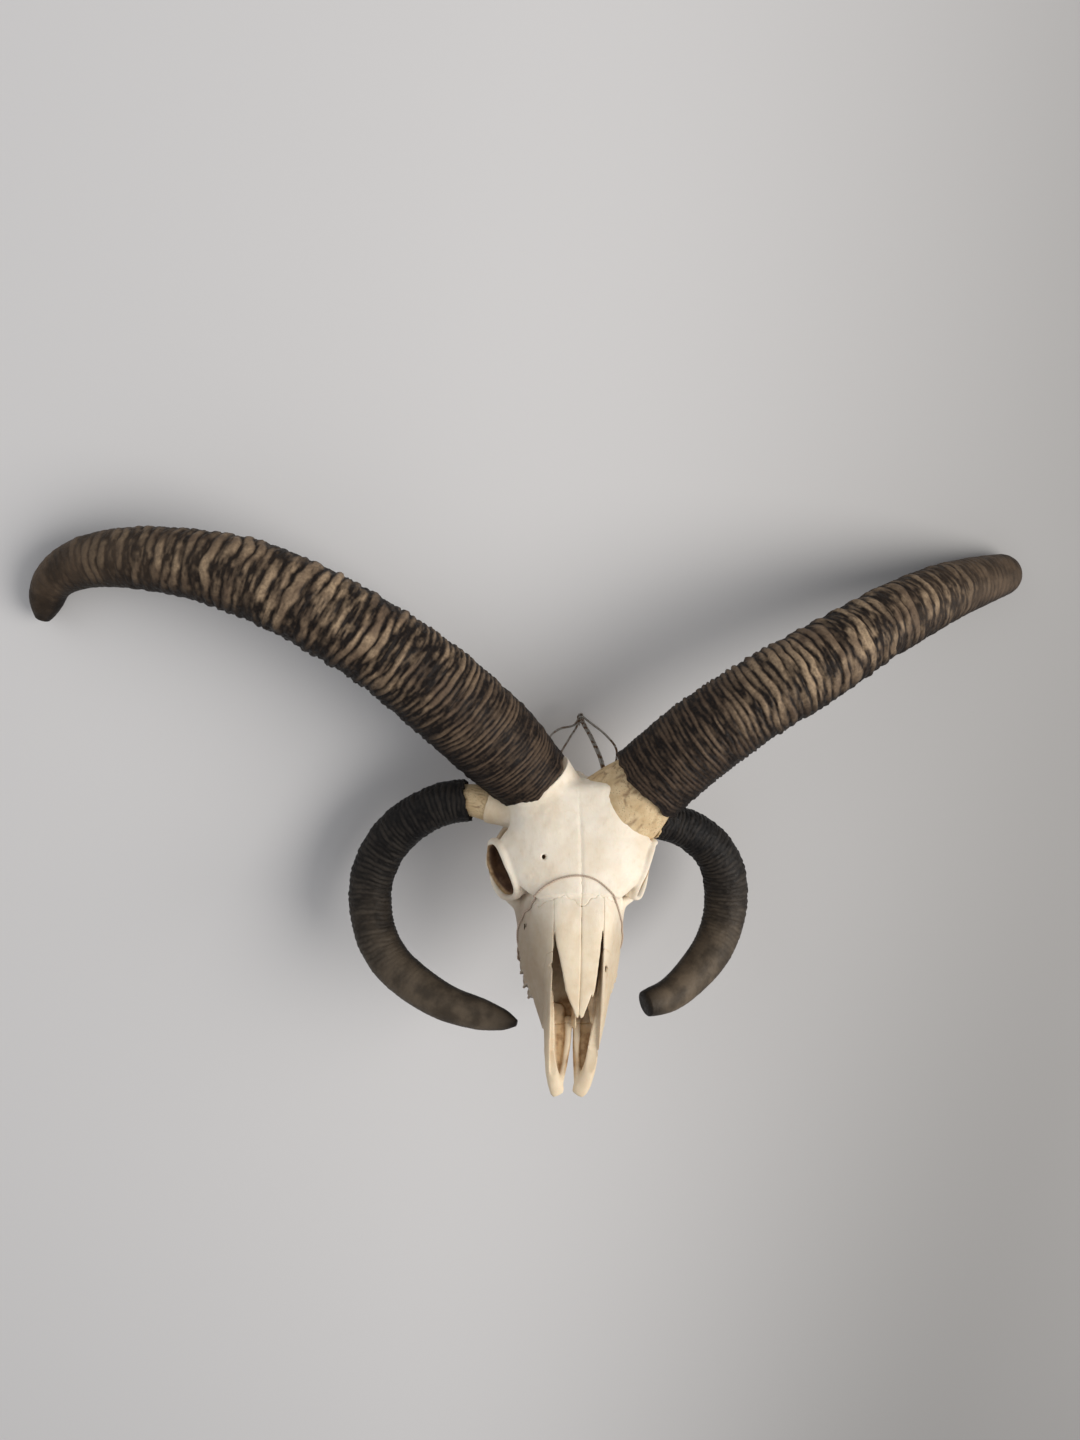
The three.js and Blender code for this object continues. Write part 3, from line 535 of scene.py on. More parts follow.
# Where the horns stand: the line of each and half its size across and deep.
BOSSES = [
    [[[14, 57, -36], [23, 63, -30.4], [34.4, 70.1, -20.8]], [24, 30, 34.3], [24, 30, 34.3]],
    [[[-12, 66, -22], [-21, 82, -17.5], [-30, 91.3, -9.2]], [30, 30, 30.2], [28, 29.5, 31.2]],
    [[[34, 60, -24], [52, 63.6, -30], [65.6, 66.5, -35.8]], [12, 13, 12.2], [14, 14, 12.2]],
    [[[-32, 64, -18], [-48, 71, -22], [-61.6, 77.4, -25.5]], [12, 13, 14], [14, 14, 14]],
]
# Seen from above, what is open beside the nasal bones and in front of them.
BESIDE_NASALS = [
    [-19.6, -18], [-18.2, -30], [-15.8, -41], [-13.2, -52], [-10.5, -63], [-6.5, -72], [-2.6, -80],
    [-0.8, -81.5], [0, -79], [1.4, -81.5], [3.4, -80], [6.4, -72], [8.4, -66], [9.4, -68.5], [10.6, -63],
    [12, -52], [13.4, -41], [14.8, -30], [16, -18], [16.4, -44], [24, -50], [27, -100],
    [-27, -100], [-27, -50], [-19.8, -44],
]
# Seen from the side, what lies above the upper edges of the premaxillae.
ABOVE_EDGES = [[-16, 20], [-16, -34], [-40, -34], [-44, -27], [-60, -39], [-76, -50], [-98, -58], [-98, 20]]


def bone_field():
    """Distances of all the bones in one piece, and those of their outside before anything is hollowed out."""
    field = np.full(SHAPE, FAR, np.float32)
    add(field, [hull(MUZZLE)], 0)
    add(field, [hull(ROOF)], 2.5)
    add(field, [hull(BRAINCASE)], 3)
    add(field, both(orbit_cone(*ORBIT_BODY)), 3)
    add(field, both(bar(CHEEK, [5, 5, 5, 4], [6, 8, 7, 5])), 4)
    add(field, [bar(*boss, FACE_ON, around=64, round_ends=False) for boss in BOSSES], 4)
    outside = field.copy()
    cut(field, [hull(CAVITY, inset=BONE_WALL)], 0.8)
    plan = flat_distance(BESIDE_NASALS, X[:, :, 0], Y[:, :, 0])
    side = flat_distance(ABOVE_EDGES, Y[0], Z[0])
    slot = np.maximum(np.maximum(plan[:, :, None], side[None]), PALATE_Z - Z)
    field = -soft_least(-field, slot, 0.5)
    cut(field, both(orbit_cone(*ORBIT_HOLLOW, bulging=True)), 1.2)
    temple = np.maximum(flat_distance(TEMPLE, Y[0], Z[0])[None], TEMPLE_X - np.abs(X))
    field = -soft_least(-field, temple, 2.5)
    cup = np.full(SHAPE, FAR, np.float32)
    add(cup, both(orbit_cone(*ORBIT_CUP, bulging=True)), 0)
    cut(cup, both(orbit_cone(*ORBIT_HOLLOW, bulging=True)), 0.6)
    field = soft_least(field, cup, 1.2)
    add(field, both(bar(RIM, [2.2], [3.3], ORBIT_OUT, closed=True, count=120)), 1.6)
    add(field, both(bar(ARCH, [3.6, 2.5, 2.3, 2.6, 5], [6, 5, 4.2, 4.6, 6])), 2)
    add(field, [bar(NUCHAL, [3, 4, 4.5, 4, 3], [4, 4, 4, 4, 4])], 3)
    add(field, [bar(BASE, [7, 9, 8, 12, 10], [5, 5, 5, 6, 5])], 4)
    add(field, both(ball([13, 111, -61], [8.7, 9.8, 9.2], [20, 0, 20])), 1.5)
    add(field, both(bar(PAROCCIPITAL, [6, 4.6, 3.2, 1.9], [8, 6.3, 4.6, 2.6], np.array([0, 1.0, 0]))), 2.5)
    add(field, both(ball([20, 90, -69], [6.6, 11.4, 7.6], [0, 0, 12])), 1.5)
    add(field, both(bar(HAMULUS, [2, 1.5, 1.2], [8, 7.5, 2.6])), 1.5)
    for side in (1, -1):
        add(field, premaxilla(side), 1.2)
    return field, outside


def inside_nose(field):
    """The plate of the nose and the scrolls beside it, deep in the nasal cavity."""
    plate = [[0, -84, -64], [0, -60, -58], [0, -36, -50], [0, -6, -44]]
    add(field, [bar(plate, [1.2, 1.3, 1.4, 1.6], [5, 9, 13, 16])], 0.8)
    lower = [[14, -82, -59], [12.5, -66, -52], [12, -44, -46], [12, -20, -42]]
    add(field, both(bar(lower, [2.2, 4.4, 5.4, 5.4], [2.4, 5.5, 7.5, 8])), 0.8)
    upper = [[9, -62, -36], [9, -44, -29], [9, -20, -22]]
    add(field, both(bar(upper, [1.6, 3, 3.4], [1.8, 3.4, 4])), 0.8)
    channel = [[17, -84, -60], [16.4, -64, -52], [16, -30, -44]]
    cut(field, both(bar(channel, [0.7, 1.4, 1.6], [1.5, 2.6, 3])), 0.5)


def holes(field):
    """The openings for nerves and vessels, the ears and the spinal cord."""
    cut(field, [ball([0, 119, -52], [9, 20, 8], [-12, 0, 0])], 1.5)
    cut(field, both(ball([43, 88, -55], [9, 2.6, 2.6], [0, 0, -6])), 1)
    cut(field, [bar([[-27.2, 24.6, 7], [-26.8, 29, -5]], [1.8, 1.2], [2.4, 1.2])], 0.8)
    cut(field, [bar([[26.4, 28, 6.6], [27, 24, 5.4]], [1.5, 1.3], [1.3, 1.0])], 1.2)
    brow_groove = [[27, 23.5, 6.1], [25.4, 12, 2.6], [24, 2, -1.4]]
    cut(field, both(bar(brow_groove, [1.3, 1.1, 0.6], [0.9, 0.8, 0.4])), 1.6)
    cut(field, both(bar([[36, -52, -48], [28, -57, -48.6]], [2.1, 1.6], [1.6, 1.4])), 1.2)
    cut(field, both(ball([39, -6, -28], [5.6, 12, 8], [10, 0, 12])), 1.5)
    cut(field, both(bar([[14, 108, -62], [24, 104, -64]], [1.4, 1.2], [1.4, 1.2])), 1)


def add_teeth(field):
    """The cheek teeth. Returns their own distances, for their colour."""
    teeth = np.full(SHAPE, FAR, np.float32)
    for row in TEETH:
        for shape in tooth(*row):
            add(teeth, both(shape), 0.7)
        for shape in tooth_cups(*row):
            cut(teeth, both(shape), 0.4)
    np.minimum(field, teeth, out=field)
    return teeth


def worn(field):
    """Unevenness of the bone: broad lumps all over, and rough patches where the horns stand."""
    rough = rise(Y, 46, 26) * rise(np.abs(X), 6, 20) * rise(Z, -40, 20)
    margin = fall(Z, -56, 8) * fall(Y, 20, 20) * rise(Y, -80, 20)
    lumps = 0.30 * grid_noise(11, 3) + 0.16 * grid_noise(5, 4)
    fine = grid_noise(2.6, 5) + 0.7 * grid_noise(1.7, 6)
    brow = np.exp(-(((np.abs(X) - 35) / 7) ** 2 + ((Y - 12) / 13) ** 2)) * rise(Z, -26, 10)
    field += (lumps + fine * (0.04 + 0.16 * rough + 0.14 * margin + 0.12 * brow)).astype(np.float32)
    ridge = np.exp(-((X / 1.6) ** 2)) * rise(Z, -8, 6)
    field += (0.55 * ridge * (rise(Y, -6, 8) * fall(Y, 70, 20))).astype(np.float32)
    nasals = fall(Y, -8, 6) * rise(Y, -79, 4) * rise(Z, -44, 4)
    field += (0.4 * np.exp(-((X / 0.7) ** 2)) * nasals).astype(np.float32)


# ------------------------------------------------------------------ parting the bones at the sutures
NASOFRONTAL = [[-60, -6], [-30, -5], [-19.4, -3], [-13, -1], [-7, -4], [-2.4, -8], [0, -9.5],
               [2.4, -8], [7, -4], [13, -1], [19.4, -3], [30, -5], [60, -6]]
UNDER_FRONTALS = [[-16, -19], [2, -19.2], [46, -22], [52, -47.5], [78, -47.5], [94, -24], [112, -12],
                  [130, -6]]
BEFORE_BRAINCASE = [[-110, 31], [-60, 30], [-56, 10], [-40, 4], [-19.2, 2]]
BEHIND_PREMAXILLA = [[-90, -80], [-64, -80], [-57, -74], [-45.5, -60], [-33, -44], [-26, -38], [20, -33]]
UNDER_NASALS = [[-100, -62], [-84, -52], [-60, -42], [-44, -32], [-30, -18], [-14, -11.8], [8, -8.6]]
ROUND_ZYGOMATIC = [[-2, -18], [-3, -38], [-12, -52], [-4, -61], [20, -59], [44, -66], [110, -66],
                   [110, -10], [-2, -10]]
INSIDE_ZYGOMATIC = [[-16, 30], [44, 30], [56, 39], [68, 39], [86, 62]]
NASAL_EDGES = (-19.7, 16.3)
# The numbers of the bones in the grid. RIGHT is added to those of the animal's right side.
BONES = {"nasal": 0, "frontal": 1, "premaxilla": 2, "zygomatic": 3, "maxilla": 4}
BRAINCASE_NUMBER = 5
RIGHT = 8
HEALED_FROM_Y = 12  # the frontals are grown together from here on
SAW_PITCH, SAW_DEPTH = 3.1, 1.3  # of the teeth in the suture before the frontals
ZYGOMATIC_X = 29.8  # a zygomatic comes no nearer to the midline
MARGIN = 4  # steps of the grid kept round each bone


def line_at(line, x):
    """The height of a line of [x, height] corners at x."""
    a = np.array(line, float)
    return np.interp(x, a[:, 0], a[:, 1]).astype(np.float32)


def bone_labels():
    """Which bone each point of the grid belongs to: a number for each, with the left and right told apart."""
    wiggle = 0.5 * grid_noise(2.4, 11) + 0.5 * grid_noise(5.5, 12)
    saw = SAW_DEPTH * np.abs(((X / SAW_PITCH) % 2) - 1) - SAW_DEPTH / 2
    y_front = line_at(NASOFRONTAL, X) + saw + 0.6 * wiggle
    z_front = line_at(UNDER_FRONTALS, Y) + wiggle
    y_brain = line_at(BEFORE_BRAINCASE, Z) + wiggle
    y_pre = line_at(BEHIND_PREMAXILLA, Z) + wiggle
    z_nasal = line_at(UNDER_NASALS, Y)
    out = np.abs(X)
    frontal = (Y > y_front) & (Z > z_front)
    nasal = ~frontal & (X > NASAL_EDGES[0]) & (X < NASAL_EDGES[1]) & (Z > z_nasal) & (Y < 0)
    premaxilla_ = ~frontal & ~nasal & (Y < y_pre)
    cheek = flat_distance(ROUND_ZYGOMATIC, Y[0], Z[0])[None] < 0.4 * wiggle
    zygomatic = ~frontal & ~nasal & cheek & (out > line_at(INSIDE_ZYGOMATIC, Y)) & (out > ZYGOMATIC_X)
    braincase_ = ~frontal & ~nasal & ~zygomatic & (Y > y_brain)
    labels = np.full(SHAPE, BONES["maxilla"], np.int8)
    for number, mask in enumerate((nasal, frontal, premaxilla_, zygomatic)):
        labels[mask] = number
    labels[braincase_] = BRAINCASE_NUMBER
    middle = 0.7 * wiggle * (Y > -10) + lean(Y)
    labels += (RIGHT * ((X < middle) & (labels < BRAINCASE_NUMBER))).astype(np.int8)
    return labels


def part_bones(field, labels):
    """Each bone's own surface, ending at its sutures: name -> points and quads."""
    numbers = {"braincase": BRAINCASE_NUMBER}
    for name, number in BONES.items():
        numbers[name + "_left"] = number
        numbers[name + "_right"] = number + RIGHT
    made = {}
    for name, number in numbers.items():
        mine = labels == number
        solid = np.argwhere(mine & (field < 0))
        if not len(solid):
            continue
        low, high = solid.min(0), solid.max(0)
        where = tuple(slice(max(a - MARGIN, 0), min(b + MARGIN + 1, n)) for a, b, n in zip(low, high, SHAPE))
        share = mine[where].astype(np.float32)
        for k in range(3):
            share = (np.roll(share, 1, k) + 2 * share + np.roll(share, -1, k)) / 4
        grown = name.startswith("frontal") & (Y[:, where[1]] > HEALED_FROM_Y)
        gap = np.where(grown, HEALED, SUTURE)
        edge = (0.5 - share) * 2.2 * STEP + gap / 2
        body = np.maximum(field[where], edge)
        for k in range(3):
            for end in (0, -1):
                body[tuple(end if d == k else slice(None) for d in range(3))] = FAR
        points, quads = surface(body, where)
        made[name] = largest_lump(points, quads)
    return made


def largest_lump(points, quads):
    """Only the biggest connected piece of a surface."""
    root = np.arange(len(points))
    while True:
        least = root[quads].min(1)
        new = root.copy()
        for k in range(4):
            np.minimum.at(new, quads[:, k], least)
        new = new[new]
        if (new == root).all():
            break
        root = new
    size = np.bincount(root[quads[:, 0]], minlength=len(points))
    keep = size[root[quads[:, 0]]] >= size.max()
    quads = quads[keep]
    used = np.unique(quads)
    index = np.zeros(len(points), int)
    index[used] = np.arange(len(used))
    return points[used], index[quads]


# ------------------------------------------------------------------ Blender objects
def make_object(name, skin, nodes, material, values=None):
    """A smooth mesh over the floor, riding on the body in place of CAD nodes. values are its attributes."""
    mesh = bpy.data.meshes.new(name)
    points, quads, tris = skin
    count = len(quads) * 4 + len(tris) * 3
    mesh.vertices.add(len(points))
    mesh.loops.add(count)
    mesh.polygons.add(len(quads) + len(tris))
    laid = to_floor(points)
    laid[:, 2] = np.maximum(laid[:, 2], 0.0)
    mesh.vertices.foreach_set("co", laid.astype(np.float32).ravel())
    mesh.loops.foreach_set("vertex_index", np.concatenate([quads.ravel(), tris.ravel()]).astype(np.int32))
    starts = np.concatenate([np.arange(len(quads)) * 4, len(quads) * 4 + np.arange(len(tris)) * 3])
    mesh.polygons.foreach_set("loop_start", starts.astype(np.int32))
    mesh.update(calc_edges=True)
    mesh.validate()
    mesh.polygons.foreach_set("use_smooth", np.ones(len(mesh.polygons), bool))
    place = mesh.attributes.new("place", "FLOAT_VECTOR", "POINT")
    place.data.foreach_set("vector", np.asarray(points, np.float32).ravel())
    for key, value in (values or {}).items():
        mesh.attributes.new(key, "FLOAT", "POINT").data.foreach_set("value", np.asarray(value, np.float32))
    obj = bpy.data.objects.new(name, mesh)
    bpy.context.scene.collection.objects.link(obj)
    obj.data.materials.append(material)
    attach(obj, "root")
    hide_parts(*nodes)


# ------------------------------------------------------------------ materials
class Paint:
    """A node material being put together. Its textures are laid out in the skull's own frame, in mm."""

    def __init__(self, name, **fixed):
        self.material = bpy.data.materials.new(name)
        self.material.use_nodes = True
        self.tree = self.material.node_tree
        self.shader = self.tree.nodes["Principled BSDF"]
        for key, value in fixed.items():
            self.shader.inputs[key.replace("_", " ")].default_value = value

    def node(self, kind, **settings):
        """A new node of the material."""
        made = self.tree.nodes.new(kind)
        for key, value in settings.items():
            setattr(made, key, value)
        return made

    def put(self, socket, value):
        """Links a node's output to a socket, or sets the socket to a number or colour."""
        if isinstance(value, bpy.types.NodeSocket):
            self.tree.links.new(value, socket)
        elif isinstance(value, tuple) and len(value) == 3 and len(socket.default_value) == 4:
            socket.default_value = (*value, 1.0)
        else:
            socket.default_value = value

    def attribute(self, name, output="Fac"):
        """A value that the mesh holds at each of its points."""
        return self.node("ShaderNodeAttribute", attribute_name=name).outputs[output]

    def math(self, operation, a, b, clamp=False):
        """The sum, product or the like of two numbers."""
        made = self.node("ShaderNodeMath", operation=operation, use_clamp=clamp)
        self.put(made.inputs[0], a)
        self.put(made.inputs[1], b)
        return made.outputs[0]

    def ramp(self, value, low, high, to_low=0.0, to_high=1.0):
        """A value eased from one range to another, and held at its ends."""
        made = self.node("ShaderNodeMapRange", interpolation_type="SMOOTHSTEP")
        for socket, v in zip(made.inputs, (value, low, high, to_low, to_high)):
            self.put(socket, v)
        return made.outputs[0]

    def mix(self, share, a, b):
        """A colour between a and b, which is all b where the share is 1."""
        made = self.node("ShaderNodeMix", data_type="RGBA")
        self.put(made.inputs["Factor"], share)
        self.put(made.inputs[6], a)
        self.put(made.inputs[7], b)
        return made.outputs[2]

    def place(self, scale=(1.0, 1.0, 1.0)):
        """The place on the skull, in mm."""
        made = self.node("ShaderNodeMapping")
        self.put(made.inputs["Vector"], self.attribute("place", "Vector"))
        made.inputs["Scale"].default_value = scale
        return made.outputs[0]

    def noise(self, where, size, detail):
        """Cloudy noise in patches of a size in mm."""
        made = self.node("ShaderNodeTexNoise")
        self.put(made.inputs["Vector"], where)
        made.inputs["Scale"].default_value = 1.0 / size
        made.inputs["Detail"].default_value = detail
        return made.outputs["Fac"]

    def pores(self, where, size):
        """Distance from the middles of pits that lie a size in mm apart."""
        made = self.node("ShaderNodeTexVoronoi", feature="F1")
        self.put(made.inputs["Vector"], where)
        made.inputs["Scale"].default_value = 1.0 / size
        return made.outputs["Distance"]

    def bump(self, height, distance):
        """The direction that a surface looks in when it is raised by up to a distance in mm."""
        made = self.node("ShaderNodeBump")
        made.inputs["Strength"].default_value = 1.0
        made.inputs["Distance"].default_value = distance * 0.001
        self.put(made.inputs["Height"], height)
        return made.outputs[0]

    def finish(self, color, roughness, normal):
        """Hands the looks to the shader. Returns the material."""
        self.put(self.shader.inputs["Base Color"], color)
        self.put(self.shader.inputs["Roughness"], roughness)
        self.put(self.shader.inputs["Normal"], normal)
        return self.material


def bone_paint():
    """Dry bone: ivory on the forehead, yellower on the snout, brown grime and painted shade in crevices, tan
    inside the openings, and painted shade deep in them and on the flanks of the snout.
    """
    p = Paint("bone", Subsurface_Weight=0.06, Subsurface_Scale=0.002, Specular_IOR_Level=0.35)
    where = p.place()
    patches = p.noise(where, 24, 4)
    mottle = p.noise(where, 5, 5)
    ivory = p.mix(p.ramp(patches, 0.35, 0.7), (0.86, 0.77, 0.635), (0.79, 0.68, 0.53))
    snout = p.mix(p.ramp(patches, 0.3, 0.7), (0.78, 0.645, 0.455), (0.68, 0.53, 0.35))
    blend = p.math("ADD", p.attribute("snout"), p.ramp(mottle, 0.3, 0.7, -0.12, 0.12), clamp=True)
    color = p.mix(blend, ivory, snout)
    color = p.mix(p.ramp(mottle, 0.55, 0.75, 0.0, 0.18), color, (0.66, 0.53, 0.36))
    grain = p.noise(p.place((1.0, 0.16, 1.0)), 1.6, 4)
    color = p.mix(p.ramp(grain, 0.6, 0.78, 0.0, 0.18), color, (0.50, 0.37, 0.23))
    uneven = p.ramp(p.noise(where, 3.2, 4), 0.25, 0.7, 0.45, 1.0)
    # Brown grime and painted shade in the crevices, darker where the bone is most concave.
    crevice_grime_and_shade = p.math("MULTIPLY", p.attribute("hollow"), uneven, clamp=True)
    color = p.mix(p.math("MULTIPLY", crevice_grime_and_shade, 0.85), color, (0.20, 0.115, 0.055))
    # Inside the openings the bone is tan, partly its own colour and partly painted shade; deep in the orbits
    # and at the back of the nose it is painted dark brown shade.
    tan = p.mix(p.ramp(mottle, 0.35, 0.65), (0.52, 0.34, 0.17), (0.30, 0.17, 0.075))
    brown = p.mix(p.ramp(mottle, 0.35, 0.65), (0.12, 0.062, 0.030), (0.075, 0.036, 0.018))
    color = p.mix(p.ramp(p.attribute("inner"), 0.0, 0.5), color, tan)
    color = p.mix(p.ramp(p.attribute("inner"), 0.55, 1.0), color, brown)
    enamel = p.mix(p.ramp(grain, 0.4, 0.7), (0.30, 0.215, 0.13), (0.12, 0.072, 0.038))
    color = p.mix(p.attribute("tooth"), color, enamel)
    # Painted shade: the flanks of the snout are darkened towards grey-brown, the animal's right one most.
    color = p.mix(p.attribute("flank"), color, (0.27, 0.20, 0.14))
    fine = p.pores(where, 1.1)
    height = p.math("ADD", p.math("MULTIPLY", grain, 0.6), p.ramp(fine, 0.05, 0.35, 0.0, 0.5))
    normal = p.bump(height, 0.16)
    roughness = p.ramp(mottle, 0.3, 0.7, 0.5, 0.68)
    return p.finish(color, roughness, normal)


def core_paint():
    """Tan, porous bone of the horn cores, dark in its cracks."""
    p = Paint("horn_core", Subsurface_Weight=0.04, Subsurface_Scale=0.002, Specular_IOR_Level=0.3)
    where = p.place()
    streak = p.attribute("streak")
    blotch = p.noise(where, 7, 4)
    color = p.mix(p.ramp(blotch, 0.3, 0.7), (0.52, 0.37, 0.20), (0.63, 0.48, 0.285))
    color = p.mix(p.math("MULTIPLY", streak, 0.8), color, (0.20, 0.115, 0.055))
    holes_ = p.ramp(p.pores(where, 1.5), 0.12, 0.3, 0.7, 0.0)
    color = p.mix(p.math("MULTIPLY", holes_, p.ramp(blotch, 0.4, 0.6)), color, (0.14, 0.08, 0.04))
    normal = p.bump(p.math("SUBTRACT", p.noise(where, 0.9, 4), holes_), 0.22)
    return p.finish(color, 0.72, normal)


def horn_paint(name, dark, crest, worn_color, tip, gloss):
    """Ringed horn: dark in the grooves, lighter on the crests, with its own wear and tip colours, and painted
    shade on its underside and edges.
    """
    p = Paint(name, Specular_IOR_Level=0.14)
    where = p.place()
    speck = p.noise(where, 2.2, 6)
    blotch = p.noise(where, 16, 4)
    crested = p.math("ADD", p.attribute("crest"), p.ramp(speck, 0.3, 0.7, -0.12, 0.12), clamp=True)
    color = p.mix(crested, dark, crest)
    wear = p.math("MULTIPLY", p.attribute("wear"), p.ramp(speck, 0.32, 0.68, 0.6, 1.2), clamp=True)
    color = p.mix(wear, color, worn_color)
    end = p.mix(p.ramp(blotch, 0.36, 0.68), tip, tuple(c * 0.45 for c in tip))
    color = p.mix(p.attribute("tip"), color, end)
    # Painted shade: the underside and edges of the horn are darkened, and so is the end of the tip.
    color = p.mix(p.math("MULTIPLY", p.attribute("shade"), 0.85), color, tuple(c * 0.55 for c in dark))
    hair = p.noise(where, 0.55, 5)
    normal = p.bump(p.math("ADD", speck, p.math("MULTIPLY", hair, 0.6)), 0.32)
    roughness = p.ramp(speck, 0.3, 0.7, gloss, gloss + 0.2)
    return p.finish(color, roughness, normal)


def wire_paint():
    """Dull galvanised wire with patches of rust."""
    p = Paint("wire", Metallic=0.75)
    where = p.place()
    rust = p.ramp(p.noise(where, 3.5, 5), 0.45, 0.62)
    color = p.mix(rust, (0.27, 0.25, 0.22), (0.14, 0.075, 0.04))
    normal = p.bump(p.noise(where, 0.5, 4), 0.1)
    return p.finish(color, p.ramp(rust, 0.0, 1.0, 0.4, 0.75), normal)


def string_paint():
    """Pinkish-brown string, with painted shade between its strands."""
    p = Paint("string", Sheen_Weight=0.2)
    where = p.place()
    strand = p.attribute("strand")
    # Painted shade: the string is darker where its strands meet.
    color = p.mix(strand, (0.27, 0.18, 0.125), (0.52, 0.40, 0.30))
    color = p.mix(p.ramp(p.noise(where, 6, 3), 0.4, 0.7, 0.0, 0.4), color, (0.58, 0.44, 0.34))
    normal = p.bump(p.noise(where, 0.25, 3), 0.08)
    return p.finish(color, 0.85, normal)


def floor_paint():
    """Pale grey plaster, with painted shade deepening towards one side where the light falls off."""
    p = Paint("floor", Specular_IOR_Level=0.2)
    made = p.node("ShaderNodeTexNoise")
    made.inputs["Scale"].default_value = 1.4
    color = p.mix(p.ramp(made.outputs["Fac"], 0.2, 0.8), (0.585, 0.572, 0.565), (0.635, 0.622, 0.615))
    # Painted shade: the floor darkens towards +x, as the light falls off.
    across = p.node("ShaderNodeSeparateXYZ")
    p.put(across.inputs[0], p.node("ShaderNodeNewGeometry").outputs["Position"])
    color = p.mix(p.ramp(across.outputs["X"], -0.1, 0.6), color, (0.29, 0.282, 0.275))
    p.put(p.shader.inputs["Base Color"], color)
    p.shader.inputs["Roughness"].default_value = 0.9
    return p.material


# ------------------------------------------------------------------ the bones
def on_nose_floor(points):
    """How surely points lie on the shelf at the bottom of the nasal opening."""
    x, y, z = points.T
    on_shelf = fall(z, -66, 1.2) * rise(z, -70.6, 1.5)
    along_it = fall(y, -56, 8) * rise(y, -122, 14)
    return on_shelf * along_it * fall(np.abs(x), 15, 3)


def near_lower_horns(x, y):
    """How near the stumps of the lower horns, where the bone is tanned."""
    return 0.9 * rise(np.abs(x), 45, 10) * rise(y, 56, 6)


def painted_flank_shade(points):
    """How much painted shade lies on the flanks of the snout below the nasals, the animal's right one more
    than its left.
    """
    x, y, z = points.T
    behind_nostril = rise(y, -108, 30) * fall(y, 14, 14)
    deeper = 0.5 + 0.25 * fall(z, -28, 14)
    right = deeper * behind_nostril * fall(x, -17, 7)
    left = 0.3 * fall(y, 2, 20) * rise(x, 13, 5)
    return (right + left) * fall(z, -10, 16)


def bone_values(points, outside, hollow, teeth):
    """The attributes that colour the bones: inner walls with painted shade deep in the openings, grime and
    painted shade in crevices, the snout, the teeth and painted shade on the flanks.
    """
    x, y, z = points.T
    depth = -sample(outside, points)
    tooth_near = sample(teeth, points)
    grime_and_shade_in_crevices = np.clip(sample(hollow, points) * 0.9 - 0.3, 0, 1)
    grime_and_shade_in_crevices = grime_and_shade_in_crevices * (1 - np.clip(2.5 - np.abs(x), 0, 1) * rise(y, 12, 3))
    # inner: painted shade inside the openings and on the floor of the nose, deepening further in and back and
    # darkest in the orbits; its tan is partly the bone's own colour.
    inner = rise(depth, 3.2, 2.6) * fall(y, 100, 6)
    inner = inner * (0.3 + 0.35 * rise(y, -62, 24))
    inner = np.maximum(inner, np.maximum(in_orbit(points), 0.55 * on_nose_floor(points)))
    snout = 0.8 * fall(y, -2, 26) + 0.2 * fall(z, -30, 20)
    return {
        "inner": inner,
        "hollow": grime_and_shade_in_crevices,
        "snout": snout + near_lower_horns(x, y),
        "tooth": np.clip(1 - tooth_near / 0.4, 0, 1) * (z < CROWN_Z),
        # flank: painted shade on the flanks of the snout.
        "flank": painted_flank_shade(points),
    }


def make_bones():
    """All the bones, each a piece of its own."""
    field, outside = bone_field()
    inside_nose(field)
    holes(field)
    teeth = add_teeth(field)
    worn(field)
    string = string_line()
    labels = bone_labels()
    hollow = field - blurred(field, CREVICE)
    paint = bone_paint()
    for name, (points, quads) in part_bones(field, labels).items():
        values = bone_values(points, outside, hollow, teeth)
        make_object(name, (points, quads, NO_TRIS), [name], paint, values)
    return field, string


